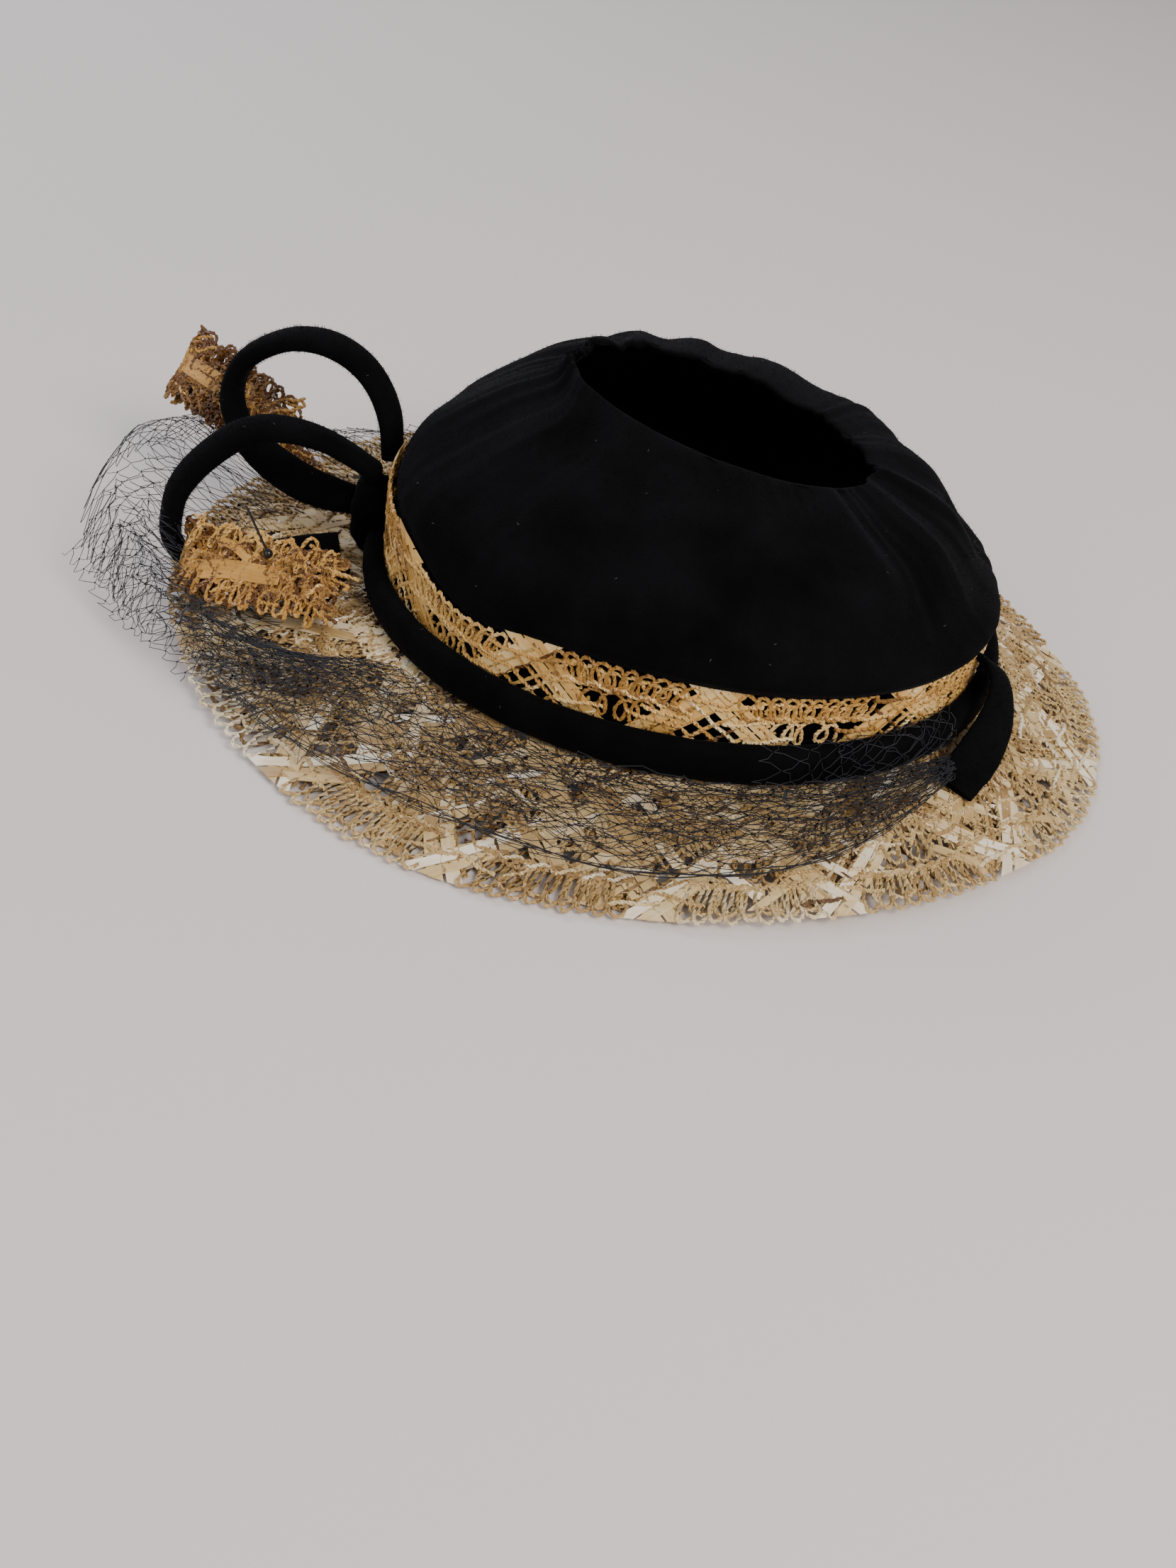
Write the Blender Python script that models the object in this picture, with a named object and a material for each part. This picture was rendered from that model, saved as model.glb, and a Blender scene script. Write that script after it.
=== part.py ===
"""Wide-brimmed hat of straw lace braid with an open, gathered velvet crown.

Metres, +Z up, the front of the hat towards -X. The origin is the middle of the hat's box, on the
surface that the brim rests on. Shapes are first worked out about the crown's own axis and then
moved by ORIGIN. A turn is a share of the way round, from the back (0) by the far side (0.25) to
the front (0.5) and the near side (0.75).
"""

import bmesh
import bpy
import numpy as np

# Driving dimensions
ORIGIN = np.array([0.0168, 0.0007, 0.0])
CLEAR = 0.0003
SHARP_EDGE_DEGREES = 50

CROWN_CENTRE_X = 0.0115
HEAD_LENGTH = 0.0995
HEAD_WIDTH = 0.0855
VELVET_WALL = 0.0020
STRAW_WALL = 0.0020
BAND_GAP = 0.0005
BRIM_EXTRA_GAP = 0.0004

BRIM_INNER_TOP = 0.0126
BRIM_FLAT_SHARE = 0.93
BRIM_FALL = 1.10
BRIM_REPEATS = 18
BRIM_SCALLOP = 0.0016

SIDE_BAND_FOOT = 0.0107
SIDE_BAND_REPEATS = 12
SIDE_BAND_BELOW_FOLD = 0.0008

TUBE_HALF_THICKNESS = 0.0036
TUBE_HALF_HEIGHT = 0.0069
TUBE_HEIGHT = 0.0200
TUBE_FRONT_OPENING = 0.0135
TUBE_STATIONS = 68

CROWN_STATIONS = 56
CROWN_FOOT = 0.0117
GATHERS = 14
GATHER_UNEVENNESS = 0.9
GATHER_LIFT = 0.6
SAG_DEPTH = 0.0085
SAG_TURNS = (0.363, 0.637)
SAG_SPREAD = 0.045

# Rim of the brim: one row every 22.5 degrees, from the back round by the far side
RIM_COLUMNS = ("reach_mm", "lift_mm")
RIM = (
    (162.3, 0.0),
    (154.3, 0.0),
    (150.6, 0.0),
    (147.4, 0.9),
    (146.6, 1.1),
    (148.5, 0.7),
    (153.7, 0.0),
    (160.2, 0.7),
    (163.7, 2.1),
    (159.6, 4.0),
    (155.0, 1.1),
    (152.5, 0.0),
    (147.0, 0.0),
    (147.7, 2.2),
    (154.2, 2.1),
    (162.9, 0.0),
)

# Velvet crown: one ring a row, from the folded edge over the side band to the lip of the opening.
# Slope is how fast the ring's height grows towards the back, gather is how deep its folds are, and
# sag is its share of SAG_DEPTH, by which the puff hangs lower beside the front.
CROWN_COLUMNS = (
    "height", "slope", "centre_x", "centre_y", "half_length", "half_width", "gather", "sag"
)
CROWN = (
    (0.0449, -0.050, 0.0130, 0.0000, 0.1032, 0.0905, 0.0000, 1.0),
    (0.0500, -0.055, 0.0140, 0.0000, 0.1026, 0.0935, 0.0002, 0.9),
    (0.0580, -0.064, 0.0122, 0.0004, 0.0952, 0.0912, 0.0006, 0.4),
    (0.0666, -0.073, 0.0140, 0.0014, 0.0858, 0.0848, 0.0009, 0.1),
    (0.0755, -0.101, 0.0170, 0.0022, 0.0742, 0.0748, 0.0011, 0.0),
    (0.0822, -0.140, 0.0176, 0.0022, 0.0606, 0.0606, 0.0012, 0.0),
    (0.0880, -0.188, 0.0131, 0.0005, 0.0521, 0.0357, 0.0008, 0.0),
    (0.0860, -0.188, 0.0131, 0.0005, 0.0500, 0.0335, 0.0004, 0.0),
)

# Where along the table's rows, counted from 0, the crown gets its rings
CROWN_PLACES = (0, 1, 1.5, 2.25, 3, 3.75, 4.5, 5.25, 6, 7)

# Where the braid of the brim lies between its inner edge (0) and the rim (1), and the two rows of
# cells that are cut through
BRIM_RINGS = (0.0, 0.20, 0.36, 0.62, 0.78, BRIM_FLAT_SHARE, 1.0)
BRIM_OPEN_RINGS = (1, 3)
BRIM_STEPS = (0.0, 0.22, 0.42, 0.60, 0.80)
BRIM_OPEN_STEP = 2
SCALLOP_AT_STEP = (0.0, 1.0, 0.6, -0.6, -1.0)

SIDE_BAND_RINGS = (0.0, 0.36, 0.56, 0.80, 1.0)
SIDE_BAND_OPEN_RING = 2
SIDE_BAND_STEPS = (0.0, 0.16, 0.34, 0.50, 0.66, 0.84)
SIDE_BAND_OPEN_STEPS = (1, 4)

# Velvet and straw pieces of the trim, as points along the middle of a strip in millimetres, with
# the strip's width there. Twist turns a loop's strip from level, in degrees.
PATH_COLUMNS = ("x", "y", "z")
LOOP_COLUMNS = ("x", "y", "z", "width", "twist")
TAB_COLUMNS = ("x", "y", "z", "width")
LOOP_NEAR = (
    (-99.6, 1.6, 42.6, 10.0, 0),
    (-107.4, -2.2, 49.2, 12.0, 0),
    (-115.3, -6.3, 54.9, 12.5, 0),
    (-124.2, -10.9, 58.8, 13.0, 0),
    (-132.6, -15.4, 60.2, 13.0, 0),
    (-140.3, -19.4, 58.3, 13.0, 0),
    (-147.2, -23.1, 53.4, 13.0, 0),
    (-153.5, -26.5, 46.9, 12.5, 0),
    (-158.2, -28.6, 39.2, 12.0, 0),
    (-160.3, -29.4, 30.3, 11.0, 0),
    (-160.6, -29.4, 22.0, 10.0, 0),
    (-157.0, -28.0, 14.8, 9.0, 0),
    (-148.0, -24.6, 12.4, 9.0, 0),
    (-133.0, -18.8, 14.8, 9.0, 0),
    (-120.0, -14.0, 17.2, 9.5, 0),
    (-108.6, -9.6, 18.6, 9.0, 0),
)
LOOP_FAR = (
    (-96.4, 13.6, 43.2, 10.0, 0),
    (-98.0, 14.2, 56.4, 12.0, 0),
    (-102.9, 15.0, 67.2, 12.0, 0),
    (-110.6, 16.1, 74.4, 12.5, 0),
    (-120.6, 17.6, 77.7, 13.0, 0),
    (-131.2, 19.3, 76.8, 13.0, 0),
    (-140.5, 20.7, 72.7, 13.0, 0),
    (-149.5, 22.0, 65.6, 12.5, 0),
    (-154.3, 22.3, 57.4, 12.0, 0),
    (-155.4, 21.7, 48.2, 12.0, 0),
    (-152.0, 19.6, 40.3, 12.0, 0),
    (-145.5, 16.8, 34.6, 12.5, 20),
    (-136.0, 13.4, 30.4, 13.0, 40),
    (-126.0, 10.0, 28.0, 13.0, 50),
    (-116.0, 7.6, 27.4, 12.0, 50),
    (-107.5, 6.2, 27.6, 10.0, 50),
)
LOOP_THICKNESS = 0.0068
LOOP_STATIONS = 34
VELVET_SIDES = 8
VELVET_SQUARENESS = 2.5

# Straw tabs: the braid leaves the knot, folds over at its far end and comes back on top
TAB_NEAR = (
    (-116.0, -36.6, 18.9, 14.0),
    (-128.0, -36.0, 19.3, 20.0),
    (-141.0, -36.4, 19.6, 23.0),
    (-149.6, -37.4, 20.0, 24.0),
    (-152.8, -39.4, 22.0, 24.0),
    (-149.6, -41.6, 24.2, 24.0),
    (-140.0, -42.7, 23.8, 25.0),
    (-122.0, -43.4, 22.8, 25.0),
    (-103.5, -43.2, 22.6, 25.0),
)
TAB_NEAR_LEAN = (0.0, 0.90, 0.43)
TAB_FAR = (
    (-101.6, 15.6, 20.2, 8.0),
    (-113.0, 19.4, 19.4, 9.0),
    (-126.0, 23.0, 21.4, 10.0),
    (-139.0, 30.2, 27.6, 13.0),
    (-153.0, 38.2, 35.0, 19.0),
    (-173.0, 42.8, 44.2, 22.0),
    (-178.3, 42.4, 48.2, 22.0),
    (-175.9, 39.0, 50.8, 22.0),
    (-156.0, 33.6, 42.2, 22.0),
    (-141.0, 29.8, 37.2, 21.0),
)
TAB_FAR_LEAN = (0.30, 0.60, 0.74)
TAB_STATIONS = 22
TAB_WAVE = 0.06
TAB_WAVE_STEP = 2.1

# Velvet strap that holds the net at the back
STRAP = (
    (111.4, -31.0, 34.4),
    (115.8, -35.8, 33.8),
    (118.0, -42.0, 30.0),
    (117.2, -50.0, 24.4),
    (112.8, -59.6, 16.0),
    (105.4, -70.6, 10.7),
)
STRAP_WIDTH = 0.0150
STRAP_THICKNESS = 0.0030
STRAP_FACES_AT_START = (0.85, -0.35, 0.40)
STRAP_FACES_AT_END = (0.10, -0.15, 0.98)
STRAP_STATIONS = 14
STRAP_SQUARENESS = 4.0

# Cut end of velvet that the near tab is sewn on
TAIL = (
    (-107.6, -17.8, 14.0),
    (-108.4, -26.0, 13.7),
    (-110.2, -35.0, 13.1),
    (-113.0, -44.0, 12.3),
)
TAIL_WIDTH = 0.0110
TAIL_THICKNESS = 0.0050
TAIL_STATIONS = 8

# Knot at the front: centre, half sizes and how square its form is
KNOT_CENTRE = (-0.0999, 0.0035, 0.0259)
KNOT_HALF = (0.0072, 0.0100, 0.0136)
KNOT_SQUARENESS = 2.8
KNOT_RINGS = 7
KNOT_AROUND = 12
KNOT_FLAT_FROM = 0.42

# Net: one row every so often from the far front, round the front and the near side, to the strap.
# Inner and outer edges of the net as distance out from the tube and height, ridge is its hump.
NET_COLUMNS = ("turn", "inner_out", "inner_height", "outer_out", "outer_height", "ridge")
NET = (
    (0.330, 0.0040, 0.0165, 0.0300, 0.0120, 0.002),
    (0.370, 0.0060, 0.0145, 0.0400, 0.0120, 0.002),
    (0.410, 0.0260, 0.0120, 0.0560, 0.0110, 0.003),
    (0.445, 0.0560, 0.0120, 0.0740, 0.0120, 0.006),
    (0.485, 0.0680, 0.0380, 0.0900, 0.0220, 0.008),
    (0.515, 0.0690, 0.0440, 0.0960, 0.0180, 0.011),
    (0.545, 0.0660, 0.0250, 0.0820, 0.0110, 0.009),
    (0.580, 0.0400, 0.0140, 0.0610, 0.0105, 0.005),
    (0.620, 0.0050, 0.0150, 0.0520, 0.0090, 0.003),
    (0.680, 0.0022, 0.0155, 0.0430, 0.0086, 0.003),
    (0.750, 0.0016, 0.0160, 0.0400, 0.0086, 0.003),
    (0.810, 0.0016, 0.0165, 0.0300, 0.0100, 0.002),
    (0.860, 0.0024, 0.0170, 0.0170, 0.0140, 0.001),
    (0.893, 0.0042, 0.0165, 0.0104, 0.0148, 0.001),
)
NET_WALL = 0.0010
NET_STATIONS = 48
NET_ROWS = 6

PIN_HEAD_AT = (-0.1250, -0.0390, 0.0283)
PIN_TIP_AT = (-0.1332, -0.0368, 0.0438)
PIN_HEAD_RADIUS = 0.0016
PIN_SHAFT_RADIUS = 0.0004
PIN_SIDES = 8
PIN_HEAD_RINGS_DEGREES = (160, 130, 100, 70, 40)
PIN_TAPERS_FROM = 0.9
PIN_POINT_SHARE = 1 / 3


def columns(names, rows):
    """The columns of a table, by name."""
    return dict(zip(names, np.asarray(rows, float).T))


def catmull_rom(a, b, c, d, share):
    """The piece between b and c of a smooth curve through a, b, c and d."""
    square, cube = 2 * a - 5 * b + 4 * c - d, 3 * b - a - 3 * c + d
    return 0.5 * (2 * b + (c - a) * share + square * share**2 + cube * share**3)


def smooth_closed(values, turns):
    """A smooth closed curve through evenly spaced values, read at turns."""
    values = np.asarray(values, float)
    place = np.mod(turns, 1.0) * len(values)
    first = np.floor(place).astype(int)
    share = place - first
    return catmull_rom(*(values[(first + step) % len(values)] for step in (-1, 0, 1, 2)), share)


def smooth_open(values, places):
    """A smooth curve through rows of values, read at places counted in rows, with its ends carried on."""
    values = np.asarray(values, float)
    values = np.vstack([2 * values[0] - values[1], values, 2 * values[-1] - values[-2]])
    places = np.asarray(places, float)
    first = np.clip(np.floor(places).astype(int), 0, len(values) - 4)
    share = (places - first)[:, None]
    return catmull_rom(*(values[first + step] for step in range(4)), share)


def even_places(values, count, finer=40):
    """Places along smooth_open, counted in rows, that lie evenly along the curve's length."""
    fine = np.linspace(0, len(values) - 1, finer * len(values))
    points = smooth_open(values, fine)[:, :3]
    length = np.concatenate([[0], np.cumsum(np.linalg.norm(np.diff(points, axis=0), axis=1))])
    return np.interp(np.linspace(0, length[-1], count), length, fine)


def unit(vectors):
    return vectors / np.linalg.norm(vectors, axis=-1, keepdims=True)


def add_piece(name, points, faces, finish):
    """One object of the scene from points about the crown's axis, closed and facing outwards."""
    mesh = bpy.data.meshes.new(name)
    mesh.from_pydata((np.asarray(points) + ORIGIN).tolist(), [], [tuple(face) for face in faces])
    shape = bmesh.new()
    shape.from_mesh(mesh)
    bmesh.ops.recalc_face_normals(shape, faces=shape.faces)
    shape.to_mesh(mesh)
    shape.free()
    mesh.shade_smooth()
    mesh.set_sharp_from_angle(angle=np.radians(SHARP_EDGE_DEGREES))
    mesh.materials.append(finish)
    piece = bpy.data.objects.new(name, mesh)
    bpy.context.scene.collection.objects.link(piece)
    return piece


def finish(name, colour, roughness, sheen=0.0):
    """A Principled material: colour as red, green and blue from 0 to 1."""
    material = bpy.data.materials.new(name)
    material.use_nodes = True
    shader = material.node_tree.nodes["Principled BSDF"]
    shader.inputs["Base Color"].default_value = (*colour, 1.0)
    shader.inputs["Roughness"].default_value = roughness
    shader.inputs["Metallic"].default_value = 0.0
    shader.inputs["Sheen Weight"].default_value = sheen
    return material


def grid_faces(rows, columns, rows_meet, columns_meet):
    """Four-sided faces of a grid of points, which may close on itself either way."""
    i, j = np.meshgrid(
        np.arange(rows if rows_meet else rows - 1),
        np.arange(columns if columns_meet else columns - 1),
        indexing="ij",
    )
    k, m = (i + 1) % rows, (j + 1) % columns
    corners = [i * columns + j, k * columns + j, k * columns + m, i * columns + m]
    return np.stack(corners, axis=-1).reshape(-1, 4).tolist()


def pierced_wall(top, under, kept, meets):
    """A wall between two grids of points, with the cells that aren't kept cut through.

    top and under hold stations by rings, kept says which cells are there, and meets is true where
    the last station joins the first. Each edge between a kept cell and a cut one gets a side face.
    """
    stations, rings = top.shape[:2]
    number = np.arange(stations * rings).reshape(stations, rings)
    below = number + stations * rings
    following = np.roll(number, -1, axis=0) if meets else number[1:]
    here = number if meets else number[:-1]
    corners = np.stack([here[:, :-1], following[:, :-1], following[:, 1:], here[:, 1:]], axis=-1)
    faces = corners[kept].tolist() + (corners[kept][:, ::-1] + stations * rings).tolist()

    padded = np.pad(kept, 1, mode="constant")
    if meets:
        padded[0, 1:-1] = kept[-1]
        padded[-1, 1:-1] = kept[0]
    neighbours = {
        (0, 1): padded[1:-1, :-2],
        (1, 2): padded[2:, 1:-1],
        (2, 3): padded[1:-1, 2:],
        (3, 0): padded[:-2, 1:-1],
    }
    for (start, end), there in neighbours.items():
        edge = corners[kept & ~there][:, [start, end]]
        faces += np.column_stack([edge[:, ::-1], edge + stations * rings]).tolist()
    points = np.concatenate([top.reshape(-1, 3), under.reshape(-1, 3)])
    used = np.unique(np.concatenate([np.ravel(face) for face in faces]))
    renumber = np.full(below.max() + 1, -1)
    renumber[used] = np.arange(len(used))
    return points[used], [renumber[face].tolist() for face in faces]


def ellipse(turns, centre_x, half_length, half_width):
    angle = 2 * np.pi * turns
    return np.stack([centre_x + half_length * np.cos(angle), half_width * np.sin(angle)], axis=-1)


def outward(turns, half_length, half_width):
    """Level unit vectors square to an ellipse, pointing out of it."""
    angle = 2 * np.pi * turns
    return unit(np.stack([np.cos(angle) / half_length, np.sin(angle) / half_width], axis=-1))


def brim_top(turns, shares, rim_growth):
    """Upper surface of the brim between its inner edge (share 0) and its rim (share 1).

    Level places run straight from the inner ellipse to the rim, and the height falls from the
    inner edge to the rim's lift along a power of the share, level over the last few millimetres.
    """
    clearance = STRAW_WALL + VELVET_WALL + BAND_GAP + BRIM_EXTRA_GAP
    inner = ellipse(turns, CROWN_CENTRE_X, HEAD_LENGTH + clearance, HEAD_WIDTH + clearance)
    rim = columns(RIM_COLUMNS, RIM)
    reach = smooth_closed(rim["reach_mm"] / 1000, turns) + rim_growth
    lift = np.maximum(smooth_closed(rim["lift_mm"] / 1000, turns), 0) + STRAW_WALL
    outer = np.stack([reach * np.cos(2 * np.pi * turns), reach * np.sin(2 * np.pi * turns)], axis=-1)
    level = inner[:, None] + (outer - inner)[:, None] * shares[None, :, None]
    left = np.clip(1 - shares / BRIM_FLAT_SHARE, 0, 1) ** BRIM_FALL
    height = lift[:, None] + (BRIM_INNER_TOP - lift)[:, None] * left
    return np.concatenate([level, height[..., None]], axis=-1)


def build_brim(straw):
    steps = np.arange(BRIM_REPEATS)[:, None] + np.array(BRIM_STEPS)
    turns = steps.ravel() / BRIM_REPEATS
    scallop = np.tile(SCALLOP_AT_STEP, BRIM_REPEATS) * BRIM_SCALLOP
    top = brim_top(turns, np.array(BRIM_RINGS), scallop)
    under = top - [0, 0, STRAW_WALL]
    kept = np.ones((len(turns), len(BRIM_RINGS) - 1), bool)
    for ring in BRIM_OPEN_RINGS:
        kept[BRIM_OPEN_STEP :: len(BRIM_STEPS), ring] = False
    return add_piece("straw_brim", *pierced_wall(top, under, kept, meets=True), straw)


def sag(turns):
    """How far the puff hangs down at each turn: a smooth dip either side of the front."""
    away = (turns[:, None] - np.array(SAG_TURNS)) / SAG_SPREAD
    return SAG_DEPTH * np.exp(-(away**2)).sum(axis=1)


def fold_height(turns, x):
    """Height of the velvet's folded edge above a place on the side band."""
    edge = dict(zip(CROWN_COLUMNS, CROWN[0]))
    return edge["height"] + edge["slope"] * (x - edge["centre_x"]) - sag(turns)


def build_side_band(straw):
    steps = np.arange(SIDE_BAND_REPEATS)[:, None] + np.array(SIDE_BAND_STEPS)
    turns = steps.ravel() / SIDE_BAND_REPEATS
    shares = np.array(SIDE_BAND_RINGS)
    grow = VELVET_WALL + BAND_GAP
    walls = []
    for extra in (grow + STRAW_WALL, grow):
        level = ellipse(turns, CROWN_CENTRE_X, HEAD_LENGTH + extra, HEAD_WIDTH + extra)
        head = fold_height(turns, level[:, 0]) - SIDE_BAND_BELOW_FOLD
        height = SIDE_BAND_FOOT + (head - SIDE_BAND_FOOT)[:, None] * shares
        level = np.repeat(level[:, None], len(shares), axis=1)
        walls.append(np.concatenate([level, height[..., None]], axis=-1))
    kept = np.ones((len(turns), len(shares) - 1), bool)
    for step in SIDE_BAND_OPEN_STEPS:
        kept[step :: len(SIDE_BAND_STEPS), SIDE_BAND_OPEN_RING] = False
    return add_piece("straw_side_band", *pierced_wall(*walls, kept, meets=True), straw)


def crown_rings():
    """Outer surface of the velvet as rings by columns: the upright wall, the folded edge and the puff."""
    turns = np.arange(CROWN_STATIONS) / CROWN_STATIONS
    wall = ellipse(turns, CROWN_CENTRE_X, HEAD_LENGTH + VELVET_WALL, HEAD_WIDTH + VELVET_WALL)
    foot = np.column_stack([wall, np.full(len(turns), CROWN_FOOT)])
    head = np.column_stack([wall, fold_height(turns, wall[:, 0])])
    wave = np.cos(2 * np.pi * GATHERS * turns + GATHER_UNEVENNESS * np.sin(6 * np.pi * turns))
    rings = [foot, head]
    for place in smooth_open(CROWN, CROWN_PLACES):
        row = dict(zip(CROWN_COLUMNS, place))
        level = ellipse(turns, row["centre_x"], row["half_length"], row["half_width"])
        level[:, 1] += row["centre_y"]
        height = row["height"] + row["slope"] * (level[:, 0] - row["centre_x"]) - row["sag"] * sag(turns)
        fold = wave * row["gather"]
        level += outward(turns, row["half_length"], row["half_width"]) * fold[:, None]
        rings.append(np.column_stack([level, height + fold * GATHER_LIFT]))
    return np.array(rings)


def build_crown(velvet):
    """The wall is the outer surface and the same surface moved in by the thickness along its normals."""
    outer = crown_rings()
    along = np.gradient(outer, axis=0)
    around = np.roll(outer, -1, axis=1) - np.roll(outer, 1, axis=1)
    normals = unit(np.cross(around, along))
    inner = outer - normals * VELVET_WALL
    inner[0, :, 2] = outer[0, :, 2]
    rings = np.concatenate([outer, inner[::-1]])
    faces = grid_faces(*rings.shape[:2], rows_meet=True, columns_meet=True)
    return add_piece("velvet_crown", rings.reshape(-1, 3), faces, velvet)


def strip(path, side, over, outline):
    """A solid of an outline carried along a path: outline rows are shares of side and over."""
    points = path[:, None] + outline[None, :, :1] * side[:, None] + outline[None, :, 1:] * over[:, None]
    count, around = points.shape[:2]
    faces = grid_faces(count, around, rows_meet=False, columns_meet=True)
    faces.append(list(range(around)))
    faces.append([(count - 1) * around + k for k in range(around)])
    return points.reshape(-1, 3), faces


def oval(sides, squareness):
    """Points of a rounded outline one unit across each half."""
    angle = 2 * np.pi * (np.arange(sides) + 0.5) / sides
    across = np.stack([np.cos(angle), np.sin(angle)], axis=-1)
    rounded = np.sign(across) * np.abs(across) ** (2 / squareness)
    return rounded / np.abs(rounded).max(axis=0)


def build_tube(velvet):
    """The rolled band: an oval section carried round the side band, open at the front for the knot."""
    clearance = VELVET_WALL + BAND_GAP + STRAW_WALL + CLEAR + TUBE_HALF_THICKNESS
    half_length, half_width = HEAD_LENGTH + clearance, HEAD_WIDTH + clearance
    opening = TUBE_FRONT_OPENING / (2 * np.pi * half_width)
    middle = 0.5 - KNOT_CENTRE[1] / (2 * np.pi * half_width)
    turns = np.linspace(middle + opening, middle + 1 - opening, TUBE_STATIONS)
    level = ellipse(turns, CROWN_CENTRE_X, half_length, half_width)
    path = np.column_stack([level, np.full(len(turns), TUBE_HEIGHT)])
    out = np.column_stack([outward(turns, half_length, half_width), np.zeros(len(turns))])
    up = np.tile([0.0, 0.0, 1.0], (len(turns), 1))
    outline = oval(VELVET_SIDES, VELVET_SQUARENESS)
    solid = strip(path, out * TUBE_HALF_THICKNESS, up * TUBE_HALF_HEIGHT, outline)
    return add_piece("velvet_band", *solid, velvet)


def read_path(names, table, stations):
    """Points evenly along a table's curve in metres, and the table's columns read there."""
    places = even_places(table, stations)
    read = columns(names, smooth_open(table, places))
    return np.column_stack([read["x"], read["y"], read["z"]]) / 1000, read


def square_to(along, directions):
    """Unit vectors nearest to the directions that are square to the path."""
    return unit(directions - along * np.sum(directions * along, axis=1, keepdims=True))


def build_loop(name, table, velvet):
    path, read = read_path(LOOP_COLUMNS, table, LOOP_STATIONS)
    width, twist = read["width"][:, None] / 1000, np.radians(read["twist"])[:, None]
    chord = path[len(path) // 2] - path[0]
    along = unit(np.gradient(path, axis=0))
    level = square_to(along, np.tile([chord[1], -chord[0], 0.0], (len(path), 1)))
    side = level * np.cos(twist) + np.cross(along, level) * np.sin(twist)
    over = np.cross(along, side)
    outline = oval(VELVET_SIDES, VELVET_SQUARENESS)
    solid = strip(path, side * width / 2, over * LOOP_THICKNESS / 2, outline)
    return add_piece(name, *solid, velvet)


def build_tab(name, table, lean, straw):
    """A strip of braid with a wavy edge, its width along lean."""
    path, read = read_path(TAB_COLUMNS, table, TAB_STATIONS)
    along = unit(np.gradient(path, axis=0))
    side = square_to(along, np.tile(lean, (len(path), 1)))
    over = np.cross(along, side)
    wavy = 1 + TAB_WAVE * np.cos(np.arange(len(path)) * TAB_WAVE_STEP)
    half_width = wavy * read["width"] / 2000
    outline = np.array([(1, -1), (1, 1), (0, 1), (-1, 1), (-1, -1), (0, -1)], float)
    solid = strip(path, side * half_width[:, None], over * STRAW_WALL / 2, outline)
    return add_piece(name, *solid, straw)


def build_strap(velvet):
    path, _ = read_path(PATH_COLUMNS, STRAP, STRAP_STATIONS)
    along = unit(np.gradient(path, axis=0))
    share = np.linspace(0, 1, len(path))[:, None]
    out = np.array(STRAP_FACES_AT_START) * (1 - share) + np.array(STRAP_FACES_AT_END) * share
    over = square_to(along, out)
    side = np.cross(over, along)
    outline = oval(VELVET_SIDES, STRAP_SQUARENESS)
    solid = strip(path, side * STRAP_WIDTH / 2, over * STRAP_THICKNESS / 2, outline)
    return add_piece("back_strap", *solid, velvet)


def build_tail(velvet):
    path, _ = read_path(PATH_COLUMNS, TAIL, TAIL_STATIONS)
    along = unit(np.gradient(path, axis=0))
    side = unit(np.cross([0.0, 0.0, 1.0], along))
    over = np.cross(along, side)
    outline = oval(VELVET_SIDES, VELVET_SQUARENESS)
    solid = strip(path, side * TAIL_WIDTH / 2, over * TAIL_THICKNESS / 2, outline)
    return add_piece("velvet_tail", *solid, velvet)


def build_knot(velvet):
    """A rounded block: a sphere of rings whose coordinates are drawn towards the corners."""
    rise = np.linspace(-KNOT_FLAT_FROM, KNOT_FLAT_FROM, KNOT_RINGS) * np.pi
    turn = np.arange(KNOT_AROUND) / KNOT_AROUND * 2 * np.pi
    rise, turn = np.meshgrid(rise, turn, indexing="ij")
    ball = np.stack([np.cos(rise) * np.cos(turn), np.cos(rise) * np.sin(turn), np.sin(rise)], axis=-1)
    power = (np.abs(ball) ** KNOT_SQUARENESS).sum(axis=-1, keepdims=True) ** (-1 / KNOT_SQUARENESS)
    points = np.array(KNOT_CENTRE) + ball * power * np.array(KNOT_HALF)
    rings, around = points.shape[:2]
    faces = grid_faces(rings, around, rows_meet=False, columns_meet=True)
    faces.append(list(range(around)))
    faces.append([(rings - 1) * around + k for k in range(around)])
    return add_piece("trim_knot", points.reshape(-1, 3), faces, velvet)


def net_surface(stations, rows):
    """Upper surface of the net: from the tube outwards, with a hump between its two edges."""
    row = columns(NET_COLUMNS, smooth_open(NET, np.linspace(0, len(NET) - 1, stations)))
    share = np.linspace(0, 1, rows)
    clearance = VELVET_WALL + BAND_GAP + STRAW_WALL + CLEAR + 2 * TUBE_HALF_THICKNESS
    base = ellipse(row["turn"], CROWN_CENTRE_X, HEAD_LENGTH + clearance, HEAD_WIDTH + clearance)
    out = outward(row["turn"], HEAD_LENGTH, HEAD_WIDTH)
    reach = row["inner_out"][:, None] * (1 - share) + row["outer_out"][:, None] * share
    height = row["inner_height"][:, None] * (1 - share) + row["outer_height"][:, None] * share
    height += row["ridge"][:, None] * np.sin(np.pi * share)
    level = base[:, None] + out[:, None] * reach[..., None]
    return np.concatenate([level, height[..., None]], axis=-1)


def build_net(net):
    top = net_surface(NET_STATIONS, NET_ROWS)
    along = np.gradient(top, axis=0)
    across = np.gradient(top, axis=1)
    normals = unit(np.cross(across, along))
    normals *= np.sign(normals[..., 2:])
    under = top - normals * NET_WALL
    kept = np.ones((NET_STATIONS - 1, NET_ROWS - 1), bool)
    kept[1:-1:2, 1::2] = False
    return add_piece("veil", *pierced_wall(top, under, kept, meets=False), net)


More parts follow.
